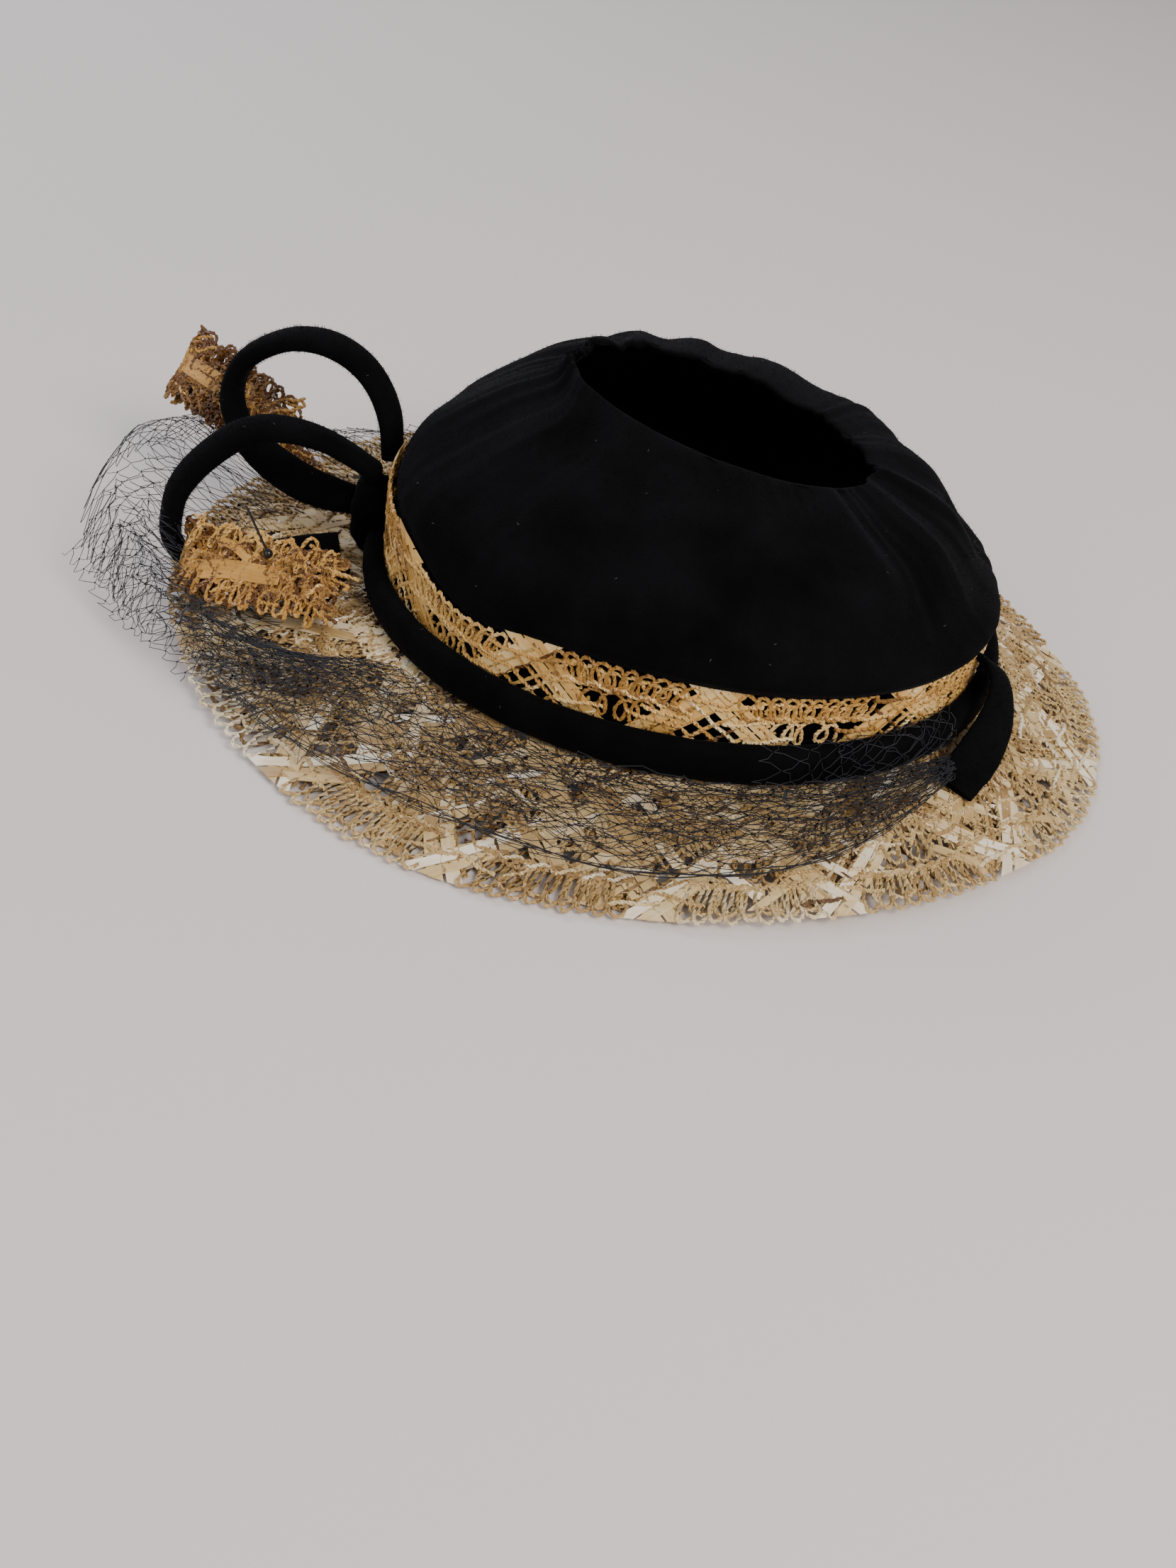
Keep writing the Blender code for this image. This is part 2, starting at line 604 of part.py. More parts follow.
def build_pin(black):
    """A round head, and a shaft that comes to a point, turned about the line from head to tip."""
    head, tip = np.array(PIN_HEAD_AT), np.array(PIN_TIP_AT)
    axis = tip - head
    length = np.linalg.norm(axis)
    axis = axis / length
    side = unit(np.cross(axis, [0.0, 0.0, 1.0]))
    over = np.cross(axis, side)
    angle = np.radians(PIN_HEAD_RINGS_DEGREES)
    shaft_along = [PIN_HEAD_RADIUS, length * PIN_TAPERS_FROM, length]
    shaft_radius = [PIN_SHAFT_RADIUS, PIN_SHAFT_RADIUS, PIN_SHAFT_RADIUS * PIN_POINT_SHARE]
    along = np.concatenate([PIN_HEAD_RADIUS * np.cos(angle), shaft_along])
    radius = np.concatenate([PIN_HEAD_RADIUS * np.sin(angle), shaft_radius])
    turn = np.arange(PIN_SIDES) / PIN_SIDES * 2 * np.pi
    ring = np.cos(turn)[:, None] * side + np.sin(turn)[:, None] * over
    points = head + along[:, None, None] * axis + radius[:, None, None] * ring
    rings, around = points.shape[:2]
    faces = grid_faces(rings, around, rows_meet=False, columns_meet=True)
    faces.append(list(range(around)))
    faces.append([(rings - 1) * around + k for k in range(around)])
    return add_piece("trim_pin", points.reshape(-1, 3), faces, black)


def main():
    for old in list(bpy.data.objects):
        bpy.data.objects.remove(old, do_unlink=True)
    straw = finish("straw_braid", (0.62, 0.45, 0.22), 0.45)
    velvet = finish("black_velvet", (0.006, 0.006, 0.008), 0.85, sheen=0.3)
    net = finish("black_net", (0.02, 0.02, 0.03), 0.6)
    black = finish("black_pin", (0.01, 0.01, 0.01), 0.2)
    build_brim(straw)
    build_side_band(straw)
    build_crown(velvet)
    build_tube(velvet)
    build_knot(velvet)
    build_loop("velvet_loop_near", LOOP_NEAR, velvet)
    build_loop("velvet_loop_far", LOOP_FAR, velvet)
    build_tail(velvet)
    build_tab("straw_tab_near", TAB_NEAR, TAB_NEAR_LEAN, straw)
    build_tab("straw_tab_far", TAB_FAR, TAB_FAR_LEAN, straw)
    build_strap(velvet)
    build_net(net)
    build_pin(black)


main()
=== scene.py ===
"""The dressed look of a straw lace hat with an open velvet crown, set on a pale floor.

Metres, +Z up, the front of the hat towards -X. Shapes are first worked out about the crown's own
axis and then moved by ORIGIN. A turn is a share of the way round, from the back (0) by the far
side (0.25) to the front (0.5) and the near side (0.75).
"""

import bpy
import numpy as np
from mathutils import Matrix


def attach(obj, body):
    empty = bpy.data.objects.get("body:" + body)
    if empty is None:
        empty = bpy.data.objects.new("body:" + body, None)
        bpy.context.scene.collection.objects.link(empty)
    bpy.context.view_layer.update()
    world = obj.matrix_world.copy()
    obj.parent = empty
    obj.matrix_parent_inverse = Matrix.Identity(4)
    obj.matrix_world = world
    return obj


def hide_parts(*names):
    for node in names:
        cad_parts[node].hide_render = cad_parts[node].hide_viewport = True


bl_info = {
    "name": "Straw lace hat",
    "version": (1, 0, 0),
    "blender": (4, 5, 0),
    "location": "3D View > Sidebar > Straw Hat",
    "description": "Dresses the hat's frame with straw lace, velvet and net",
    "category": "Add Mesh",
}

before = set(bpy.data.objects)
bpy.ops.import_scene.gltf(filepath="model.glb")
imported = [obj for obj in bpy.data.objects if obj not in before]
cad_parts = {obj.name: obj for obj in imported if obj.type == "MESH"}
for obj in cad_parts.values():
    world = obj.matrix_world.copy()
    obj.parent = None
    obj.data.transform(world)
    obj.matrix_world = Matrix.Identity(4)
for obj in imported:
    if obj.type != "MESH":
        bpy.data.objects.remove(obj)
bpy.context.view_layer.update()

ORIGIN = np.array([0.0168, 0.0007, 0.0])
MM = 0.001
FULL = 2 * np.pi
SIZES = "straw_hat_sizes"
COLOURS = "straw_hat_colours"

CROWN_CENTRE_X = 0.0115
HEAD_LENGTH = 0.0995
HEAD_WIDTH = 0.0855
VELVET_WALL = 0.0020
STRAW_WALL = 0.0020
BAND_GAP = 0.0005
CLEAR = 0.0003
BRIM_EXTRA_GAP = 0.0004
BRIM_INNER_TOP = 0.0126
BRIM_FLAT_SHARE = 0.93
BRIM_FALL = 1.10
SIDE_BAND_FOOT = 0.0107
CROWN_FOOT = 0.0117
SAG_DEPTH = 0.0085
SAG_TURNS = (0.363, 0.637)
SAG_SPREAD = 0.045
GATHERS = 14

TUBE_HALF_THICKNESS = 0.0036
TUBE_HALF_HEIGHT = 0.0069
TUBE_HEIGHT = 0.0200
TUBE_FRONT_OPENING = 0.0135

# Rim of the brim: one row every 22.5 degrees, from the back round by the far side
RIM_COLUMNS = ("reach_mm", "lift_mm")
RIM = (
    (162.3, 0.0),
    (154.3, 0.0),
    (150.6, 0.0),
    (147.4, 0.9),
    (146.6, 1.1),
    (148.5, 0.7),
    (153.7, 0.0),
    (160.2, 0.7),
    (163.7, 2.1),
    (159.6, 4.0),
    (155.0, 1.1),
    (152.5, 0.0),
    (147.0, 0.0),
    (147.7, 2.2),
    (154.2, 2.1),
    (162.9, 0.0),
)

# Velvet crown: one ring a row, from the folded edge over the side band to the lip of the opening
CROWN_COLUMNS = (
    "height", "slope", "centre_x", "centre_y", "half_length", "half_width", "gather", "sag"
)
CROWN = (
    (0.0449, -0.050, 0.0130, 0.0000, 0.1032, 0.0905, 0.0000, 1.0),
    (0.0500, -0.055, 0.0140, 0.0000, 0.1026, 0.0935, 0.0002, 0.9),
    (0.0580, -0.064, 0.0122, 0.0004, 0.0952, 0.0912, 0.0006, 0.4),
    (0.0666, -0.073, 0.0140, 0.0014, 0.0858, 0.0848, 0.0009, 0.1),
    (0.0755, -0.101, 0.0170, 0.0022, 0.0742, 0.0748, 0.0011, 0.0),
    (0.0822, -0.140, 0.0176, 0.0022, 0.0606, 0.0606, 0.0012, 0.0),
    (0.0880, -0.188, 0.0131, 0.0005, 0.0521, 0.0357, 0.0008, 0.0),
    (0.0860, -0.188, 0.0131, 0.0005, 0.0500, 0.0335, 0.0004, 0.0),
)

# Velvet and straw pieces of the trim: points along the middle of a strip in millimetres, with its
# width there, and a loop's twist from level in degrees
PATH_COLUMNS = ("x", "y", "z")
LOOP_COLUMNS = ("x", "y", "z", "width", "twist")
TAB_COLUMNS = ("x", "y", "z", "width")
LOOP_NEAR = (
    (-99.6, 1.6, 42.6, 10.0, 0),
    (-107.4, -2.2, 49.2, 12.0, 0),
    (-115.3, -6.3, 54.9, 12.5, 0),
    (-124.2, -10.9, 58.8, 13.0, 0),
    (-132.6, -15.4, 60.2, 13.0, 0),
    (-140.3, -19.4, 58.3, 13.0, 0),
    (-147.2, -23.1, 53.4, 13.0, 0),
    (-153.5, -26.5, 46.9, 12.5, 0),
    (-158.2, -28.6, 39.2, 12.0, 0),
    (-160.3, -29.4, 30.3, 11.0, 0),
    (-160.6, -29.4, 22.0, 10.0, 0),
    (-157.0, -28.0, 14.8, 9.0, 0),
    (-148.0, -24.6, 12.4, 9.0, 0),
    (-133.0, -18.8, 14.8, 9.0, 0),
    (-120.0, -14.0, 17.2, 9.5, 0),
    (-108.6, -9.6, 18.6, 9.0, 0),
)
LOOP_FAR = (
    (-96.4, 13.6, 43.2, 10.0, 0),
    (-98.0, 14.2, 56.4, 12.0, 0),
    (-102.9, 15.0, 67.2, 12.0, 0),
    (-110.6, 16.1, 74.4, 12.5, 0),
    (-120.6, 17.6, 77.7, 13.0, 0),
    (-131.2, 19.3, 76.8, 13.0, 0),
    (-140.5, 20.7, 72.7, 13.0, 0),
    (-149.5, 22.0, 65.6, 12.5, 0),
    (-154.3, 22.3, 57.4, 12.0, 0),
    (-155.4, 21.7, 48.2, 12.0, 0),
    (-152.0, 19.6, 40.3, 12.0, 0),
    (-145.5, 16.8, 34.6, 12.5, 20),
    (-136.0, 13.4, 30.4, 13.0, 40),
    (-126.0, 10.0, 28.0, 13.0, 50),
    (-116.0, 7.6, 27.4, 12.0, 50),
    (-107.5, 6.2, 27.6, 10.0, 50),
)
LOOP_THICKNESS = 0.0068
TAB_NEAR = (
    (-116.0, -36.6, 18.9, 14.0),
    (-128.0, -36.0, 19.3, 20.0),
    (-141.0, -36.4, 19.6, 23.0),
    (-149.6, -37.4, 20.0, 24.0),
    (-152.8, -39.4, 22.0, 24.0),
    (-149.6, -41.6, 24.2, 24.0),
    (-140.0, -42.7, 23.8, 25.0),
    (-122.0, -43.4, 22.8, 25.0),
    (-103.5, -43.2, 22.6, 25.0),
)
TAB_NEAR_LEAN = (0.0, 0.90, 0.43)
TAB_FAR = (
    (-101.6, 15.6, 20.2, 8.0),
    (-113.0, 19.4, 19.4, 9.0),
    (-126.0, 23.0, 21.4, 10.0),
    (-139.0, 30.2, 27.6, 13.0),
    (-153.0, 38.2, 35.0, 19.0),
    (-173.0, 42.8, 44.2, 22.0),
    (-178.3, 42.4, 48.2, 22.0),
    (-175.9, 39.0, 50.8, 22.0),
    (-156.0, 33.6, 42.2, 22.0),
    (-141.0, 29.8, 37.2, 21.0),
)
TAB_FAR_LEAN = (0.30, 0.60, 0.74)
STRAP = (
    (111.4, -31.0, 34.4),
    (115.8, -35.8, 33.8),
    (118.0, -42.0, 30.0),
    (117.2, -50.0, 24.4),
    (112.8, -59.6, 16.0),
    (105.4, -70.6, 10.7),
)
STRAP_WIDTH = 0.0150
STRAP_THICKNESS = 0.0030
STRAP_FACES_AT_START = (0.85, -0.35, 0.40)
STRAP_FACES_AT_END = (0.10, -0.15, 0.98)
TAIL = (
    (-107.6, -17.8, 14.0),
    (-108.4, -26.0, 13.7),
    (-110.2, -35.0, 13.1),
    (-113.0, -44.0, 12.3),
)
# The velvet tail's cut end: a strip of velvet folded in two lengthwise, drawn as a soft roll of this width
# and thickness
TAIL_WIDTH = 0.0110
TAIL_THICKNESS = 0.0050
KNOT_CENTRE = (-0.0999, 0.0035, 0.0259)
KNOT_HALF = (0.0072, 0.0100, 0.0136)
KNOT_SQUARENESS = 2.8

# Net: one row every so often from the far front, round the front and the near side, to the strap
NET_COLUMNS = ("turn", "inner_out", "inner_height", "outer_out", "outer_height", "ridge")
NET = (
    (0.330, 0.0040, 0.0165, 0.0300, 0.0120, 0.002),
    (0.370, 0.0060, 0.0145, 0.0400, 0.0120, 0.002),
    (0.410, 0.0260, 0.0120, 0.0560, 0.0110, 0.003),
    (0.445, 0.0560, 0.0120, 0.0740, 0.0120, 0.006),
    (0.485, 0.0680, 0.0380, 0.0900, 0.0220, 0.008),
    (0.515, 0.0690, 0.0440, 0.0960, 0.0180, 0.011),
    (0.545, 0.0660, 0.0250, 0.0820, 0.0110, 0.009),
    (0.580, 0.0400, 0.0140, 0.0610, 0.0105, 0.005),
    (0.620, 0.0050, 0.0150, 0.0520, 0.0090, 0.003),
    (0.680, 0.0022, 0.0155, 0.0430, 0.0086, 0.003),
    (0.750, 0.0016, 0.0160, 0.0400, 0.0086, 0.003),
    (0.810, 0.0016, 0.0165, 0.0300, 0.0100, 0.002),
    (0.860, 0.0024, 0.0170, 0.0170, 0.0140, 0.001),
    (0.893, 0.0042, 0.0165, 0.0104, 0.0148, 0.001),
)

# The net's cloth, a layer a row: where it runs on the net's surface, how far its meshes are drawn
# out along it, and how it is crumpled and lifted
NET_LAYER_COLUMNS = ("first", "last", "low", "high", "drawn", "rows", "crumple_mm", "lift_mm")
NET_LAYERS = (
    (2.2, 6.3, -0.90, 1.00, 1.00, 11, 0.9, 0.5),
    (5.3, 7.2, 0.55, 1.30, 0.95, 5, 1.2, 0.0),
    (5.3, 7.9, -0.20, 1.00, 0.70, 9, 3.0, 0.0),
    (5.6, 8.3, 0.15, 1.00, 0.65, 9, 3.2, -2.5),
    (4.6, 7.4, -0.95, 0.15, 0.75, 9, 2.8, 0.0),
    (6.6, 13.0, 0.02, 0.86, 1.90, 15, 1.5, 0.6),
    (6.8, 13.0, 0.00, 0.97, 2.30, 18, 1.2, 0.9),
    (7.0, 12.9, 0.10, 0.99, 1.50, 14, 1.9, 1.2),
    (7.2, 12.8, 0.05, 0.80, 1.20, 13, 2.1, 0.8),
    (0.0, 3.4, -0.10, 1.00, 1.00, 6, 2.2, 0.8),
    (0.0, 3.8, 0.10, 0.90, 1.10, 6, 2.6, 1.4),
)
# The same where the net crosses the rolled band towards the strap: first and last are turns here
TUBE_LAYERS = (
    (0.790, 0.905, 0.00, 0.90, 1.60, 5, 0.6, 0.0),
    (0.825, 0.908, 0.05, 1.10, 1.20, 6, 0.8, 0.2),
)
NET_TURN_IN = 0.040
NET_TURN_DOWN = 0.020
NET_LOWEST = 0.0085

PIN_HEAD_AT = (-0.1250, -0.0390, 0.0283)
PIN_TIP_AT = (-0.1332, -0.0368, 0.0438)
PILE_LENGTH = 0.0011
PILE_WIDTH = 0.00016
PILE_PER_SQUARE_MM = 0.8
CROWN_PILE_PER_SQUARE_MM = 0.2
BAND_PILE_PER_SQUARE_MM = 0.4
LINT_LENGTH = 0.0011
LINT_PER_SQUARE_MM = 0.003

PIN_HEAD_RADIUS = 0.0016
PIN_SHAFT_RADIUS = 0.0004

# The photograph's view: where the camera stands and how it is turned, in degrees
CAMERA_AT = (-0.0083, -0.4485, 0.2955)
CAMERA_DOWN = 39.5043
CAMERA_ROLL = 10.8018
CAMERA_FOCAL = 2100.0 / 2212.0


def linear(code):
    """Linear red, green and blue from an sRGB hex value."""
    share = np.array([int(code[k : k + 2], 16) / 255 for k in (1, 3, 5)])
    return tuple(np.where(share <= 0.04045, share / 12.92, ((share + 0.055) / 1.055) ** 2.4).tolist())


def unit(vectors):
    return vectors / np.maximum(np.linalg.norm(vectors, axis=-1, keepdims=True), 1e-12)


def columns(names, rows):
    """The columns of a table, by name."""
    return dict(zip(names, np.moveaxis(np.asarray(rows, float), -1, 0)))


def catmull_rom(a, b, c, d, share):
    """The piece between b and c of a smooth curve through a, b, c and d."""
    square, cube = 2 * a - 5 * b + 4 * c - d, 3 * b - a - 3 * c + d
    return 0.5 * (2 * b + (c - a) * share + square * share**2 + cube * share**3)


def smooth_closed(values, turns):
    """A smooth closed curve through evenly spaced values, read at turns."""
    values = np.asarray(values, float)
    place = np.mod(turns, 1.0) * len(values)
    first = np.floor(place).astype(int)
    return catmull_rom(*(values[(first + step) % len(values)] for step in (-1, 0, 1, 2)), place - first)


def smooth_open(values, places):
    """A smooth curve through rows of values, read at places counted in rows, with its ends carried on."""
    values = np.asarray(values, float)
    values = np.vstack([2 * values[0] - values[1], values, 2 * values[-1] - values[-2]])
    places = np.asarray(places, float)
    first = np.clip(np.floor(places).astype(int), 0, len(values) - 4)
    return catmull_rom(*(values[first + step] for step in range(4)), (places - first)[..., None])


def even_places(values, count, finer=40):
    """Places along smooth_open, counted in rows, that lie evenly along the curve's length."""
    fine = np.linspace(0, len(values) - 1, finer * len(values))
    points = smooth_open(values, fine)[:, :3]
    length = np.concatenate([[0], np.cumsum(np.linalg.norm(np.diff(points, axis=0), axis=1))])
    return np.interp(np.linspace(0, length[-1], count), length, fine)


def read_path(names, table, stations):
    """Points evenly along a table's curve in metres, and the table's columns read there."""
    read = columns(names, smooth_open(table, even_places(table, stations)))
    return np.stack([read["x"], read["y"], read["z"]], axis=-1) * MM, read


def square_to(along, directions):
    """Unit vectors nearest to the directions that are square to the path."""
    return unit(directions - along * np.sum(directions * along, axis=-1, keepdims=True))


def ripple(seed, *places, waves=5, low=0.6, high=1.8):
    """A smooth uneven field from -1 to 1: the mean of a few sines of seeded direction and phase."""
    rng = np.random.default_rng(seed)
    total = 0.0
    for _ in range(waves):
        phase = rng.uniform(0, FULL)
        for place in places:
            phase = phase + place * rng.uniform(low, high) * rng.choice([-1, 1])
        total = total + np.sin(phase)
    return total / waves


def ellipse(turns, centre_x, half_length, half_width):
    angle = FULL * turns
    return np.stack([centre_x + half_length * np.cos(angle), half_width * np.sin(angle)], axis=-1)


def outward(turns, half_length, half_width):
    """Level unit vectors square to an ellipse, pointing out of it."""
    angle = FULL * turns
    return unit(np.stack([np.cos(angle) / half_length, np.sin(angle) / half_width], axis=-1))


def brim_surface(turns, shares):
    """Upper surface of the brim between its inner edge (share 0) and its rim (share 1).

    Level places run straight from the inner ellipse to the rim, and the height falls from the
    inner edge to the rim's lift along a power of the share, level over the last few millimetres.
    """
    clearance = STRAW_WALL + VELVET_WALL + BAND_GAP + BRIM_EXTRA_GAP
    inner = ellipse(turns, CROWN_CENTRE_X, HEAD_LENGTH + clearance, HEAD_WIDTH + clearance)
    rim = columns(RIM_COLUMNS, RIM)
    reach = smooth_closed(rim["reach_mm"] * MM, turns)
    lift = np.maximum(smooth_closed(rim["lift_mm"] * MM, turns), 0) + STRAW_WALL
    outer = np.stack([reach * np.cos(FULL * turns), reach * np.sin(FULL * turns)], axis=-1)
    level = inner + (outer - inner) * shares[..., None]
    left = np.clip(1 - shares / BRIM_FLAT_SHARE, 0, 1.3) ** BRIM_FALL
    return np.concatenate([level, (lift + (BRIM_INNER_TOP - lift) * left)[..., None]], axis=-1)


def sag(turns):
    """How far the puff hangs down at each turn: a smooth dip either side of the front."""
    away = (np.mod(turns, 1.0)[..., None] - np.array(SAG_TURNS)) / SAG_SPREAD
    return SAG_DEPTH * np.exp(-(away**2)).sum(axis=-1)


def fold_height(turns, x):
    """Height of the velvet's folded edge above a place on the side band."""
    edge = dict(zip(CROWN_COLUMNS, CROWN[0]))
    return edge["height"] + edge["slope"] * (x - edge["centre_x"]) - sag(turns)


def side_band_surface(turns, shares):
    """Outer face of the upright band: an ellipse, from its foot (share 0) to the velvet's fold (share 1)."""
    grow = VELVET_WALL + BAND_GAP + STRAW_WALL
    level = ellipse(turns, CROWN_CENTRE_X, HEAD_LENGTH + grow, HEAD_WIDTH + grow)
    head = fold_height(turns, level[..., 0])
    height = SIDE_BAND_FOOT + (head - SIDE_BAND_FOOT) * shares
    return np.concatenate([level, height[..., None]], axis=-1)


def lay(surface, along, across, above, facing):
    """Points on a surface at two coordinates and a height above it, and its normals there.

    The normal is the cross product of two small steps on the surface, turned to face outwards.
    """
    step = 1e-4
    here = surface(along, across)
    ahead, beside = surface(along + step, across) - here, surface(along, across + step) - here
    normal = facing * unit(np.cross(ahead, beside))
    return here + normal * np.asarray(above)[..., None], normal


def carried(path, side, over, outline):
    """Closed solids of an outline carried along many paths at once, as points and four-sided faces.

    path, side and over are (paths, stations, 3) and outline is (corners, 2): each corner is the
    path's point plus the outline's first number of side and its second of over. Side, over and the
    path's direction are a right-handed set, so the faces point outwards.
    """
    points = path[:, :, None] + outline[:, 0, None] * side[:, :, None]
    points = points + outline[:, 1, None] * over[:, :, None]
    paths, stations, corners = points.shape[:3]
    number = np.arange(points.size // 3).reshape(paths, stations, corners)
    here, there = number[:, :-1], number[:, 1:]
    walls = np.stack([here, np.roll(here, -1, axis=2), np.roll(there, -1, axis=2), there], axis=-1)
    k = np.arange(corners // 2 - 1)
    end = np.stack([k, k + 1, corners - 2 - k, corners - 1 - k], axis=-1)
    ends = number[:, 0][:, end[:, ::-1]], number[:, -1][:, end]
    faces = [part.reshape(-1, 4) for part in (walls, *ends)]
    length = np.cumsum(np.linalg.norm(np.diff(path, axis=1, prepend=path[:, :1]), axis=-1), axis=1)
    around = np.broadcast_to(np.arange(corners) / corners, (paths, stations, corners))
    uv = np.stack([np.broadcast_to(length[..., None], around.shape), around], axis=-1)
    return points.reshape(-1, 3), np.concatenate(faces), uv.reshape(-1, 2)


def framed(path, normal):
    """Side and over vectors of paths on a surface: over is nearly the surface's normal."""
    along = unit(np.gradient(path, axis=1))
    side = unit(np.cross(normal, along))
    return side, np.cross(along, side)


OBLONG = np.array([(-0.5, -0.5), (0.5, -0.5), (0.5, 0.5), (-0.5, 0.5)])


def twisted(path, normal, width, thickness, pitch, rng):
    """Straws twisted about their own line: a thin oblong section that turns once every pitch."""
    side, over = framed(path, normal)
    length = np.cumsum(np.linalg.norm(np.diff(path, axis=1, prepend=path[:, :1]), axis=-1), axis=1)
    turn = (FULL * length / pitch + rng.uniform(0, FULL, (len(path), 1)))[..., None]
    wide = side * np.cos(turn) + over * np.sin(turn)
    thin = over * np.cos(turn) - side * np.sin(turn)
    return carried(path, wide * width, thin * thickness, OBLONG)


def flat_straw(surface, along, across, above, lean, width, thickness, facing):
    """Flat straws on a surface, their width laid along lean in the surface's own coordinates."""
    path, normal = lay(surface, along, across, above, facing)
    aside, _ = lay(surface, along + lean[..., 0] * 1e-3, across + lean[..., 1] * 1e-3, above, facing)
    direction = unit(np.gradient(path, axis=1))
    side = unit(aside - path)
    over = unit(np.cross(direction, side))
    flip = np.sign(np.sum(over * normal, axis=-1, keepdims=True))
    return carried(path, side * flip * width, over * flip * thickness, OBLONG)


def make_piece(name, solids, finish, stands_for=(), tones=None, sharp=40):
    """One object from a list of solids: joined arrays, with a UV map and a tone for each strand."""
    points = np.concatenate([s[0] for s in solids]) + ORIGIN
    points[:, 2] = np.maximum(points[:, 2], 0.0001)
    starts = np.cumsum([0] + [len(s[0]) for s in solids])
    faces = np.concatenate([s[1] + start for s, start in zip(solids, starts)])
    uv = np.concatenate([s[2] for s in solids])
    mesh = bpy.data.meshes.new(name)
    mesh.vertices.add(len(points))
    mesh.vertices.foreach_set("co", points.astype(np.float32).ravel())
    mesh.loops.add(faces.size)
    mesh.loops.foreach_set("vertex_index", faces.astype(np.int32).ravel())
    mesh.polygons.add(len(faces))
    mesh.polygons.foreach_set("loop_start", np.arange(0, faces.size, 4, dtype=np.int32))
    mesh.update(calc_edges=True)
    layer = mesh.uv_layers.new(name="UVMap")
    layer.data.foreach_set("uv", uv[faces.ravel()].astype(np.float32).ravel())
    tone = np.concatenate(tones) if tones is not None else np.full(len(points), 0.5)
    attribute = mesh.attributes.new("tone", "FLOAT", "POINT")
    attribute.data.foreach_set("value", tone.astype(np.float32))
    mesh.shade_smooth()
    mesh.set_sharp_from_angle(angle=np.radians(sharp))
    mesh.materials.append(finish)
    piece = bpy.data.objects.new(name, mesh)
    bpy.context.scene.collection.objects.link(piece)
    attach(piece, "root")
    if stands_for:
        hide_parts(*stands_for)
    return piece


def strand_tones(solid, strands, rng, middle, spread):
    """One tone a strand, spread about a middle one, repeated over its points."""
    tone = np.clip(rng.normal(middle, spread, strands), 0, 1)
    return np.repeat(tone, len(solid[0]) // strands)


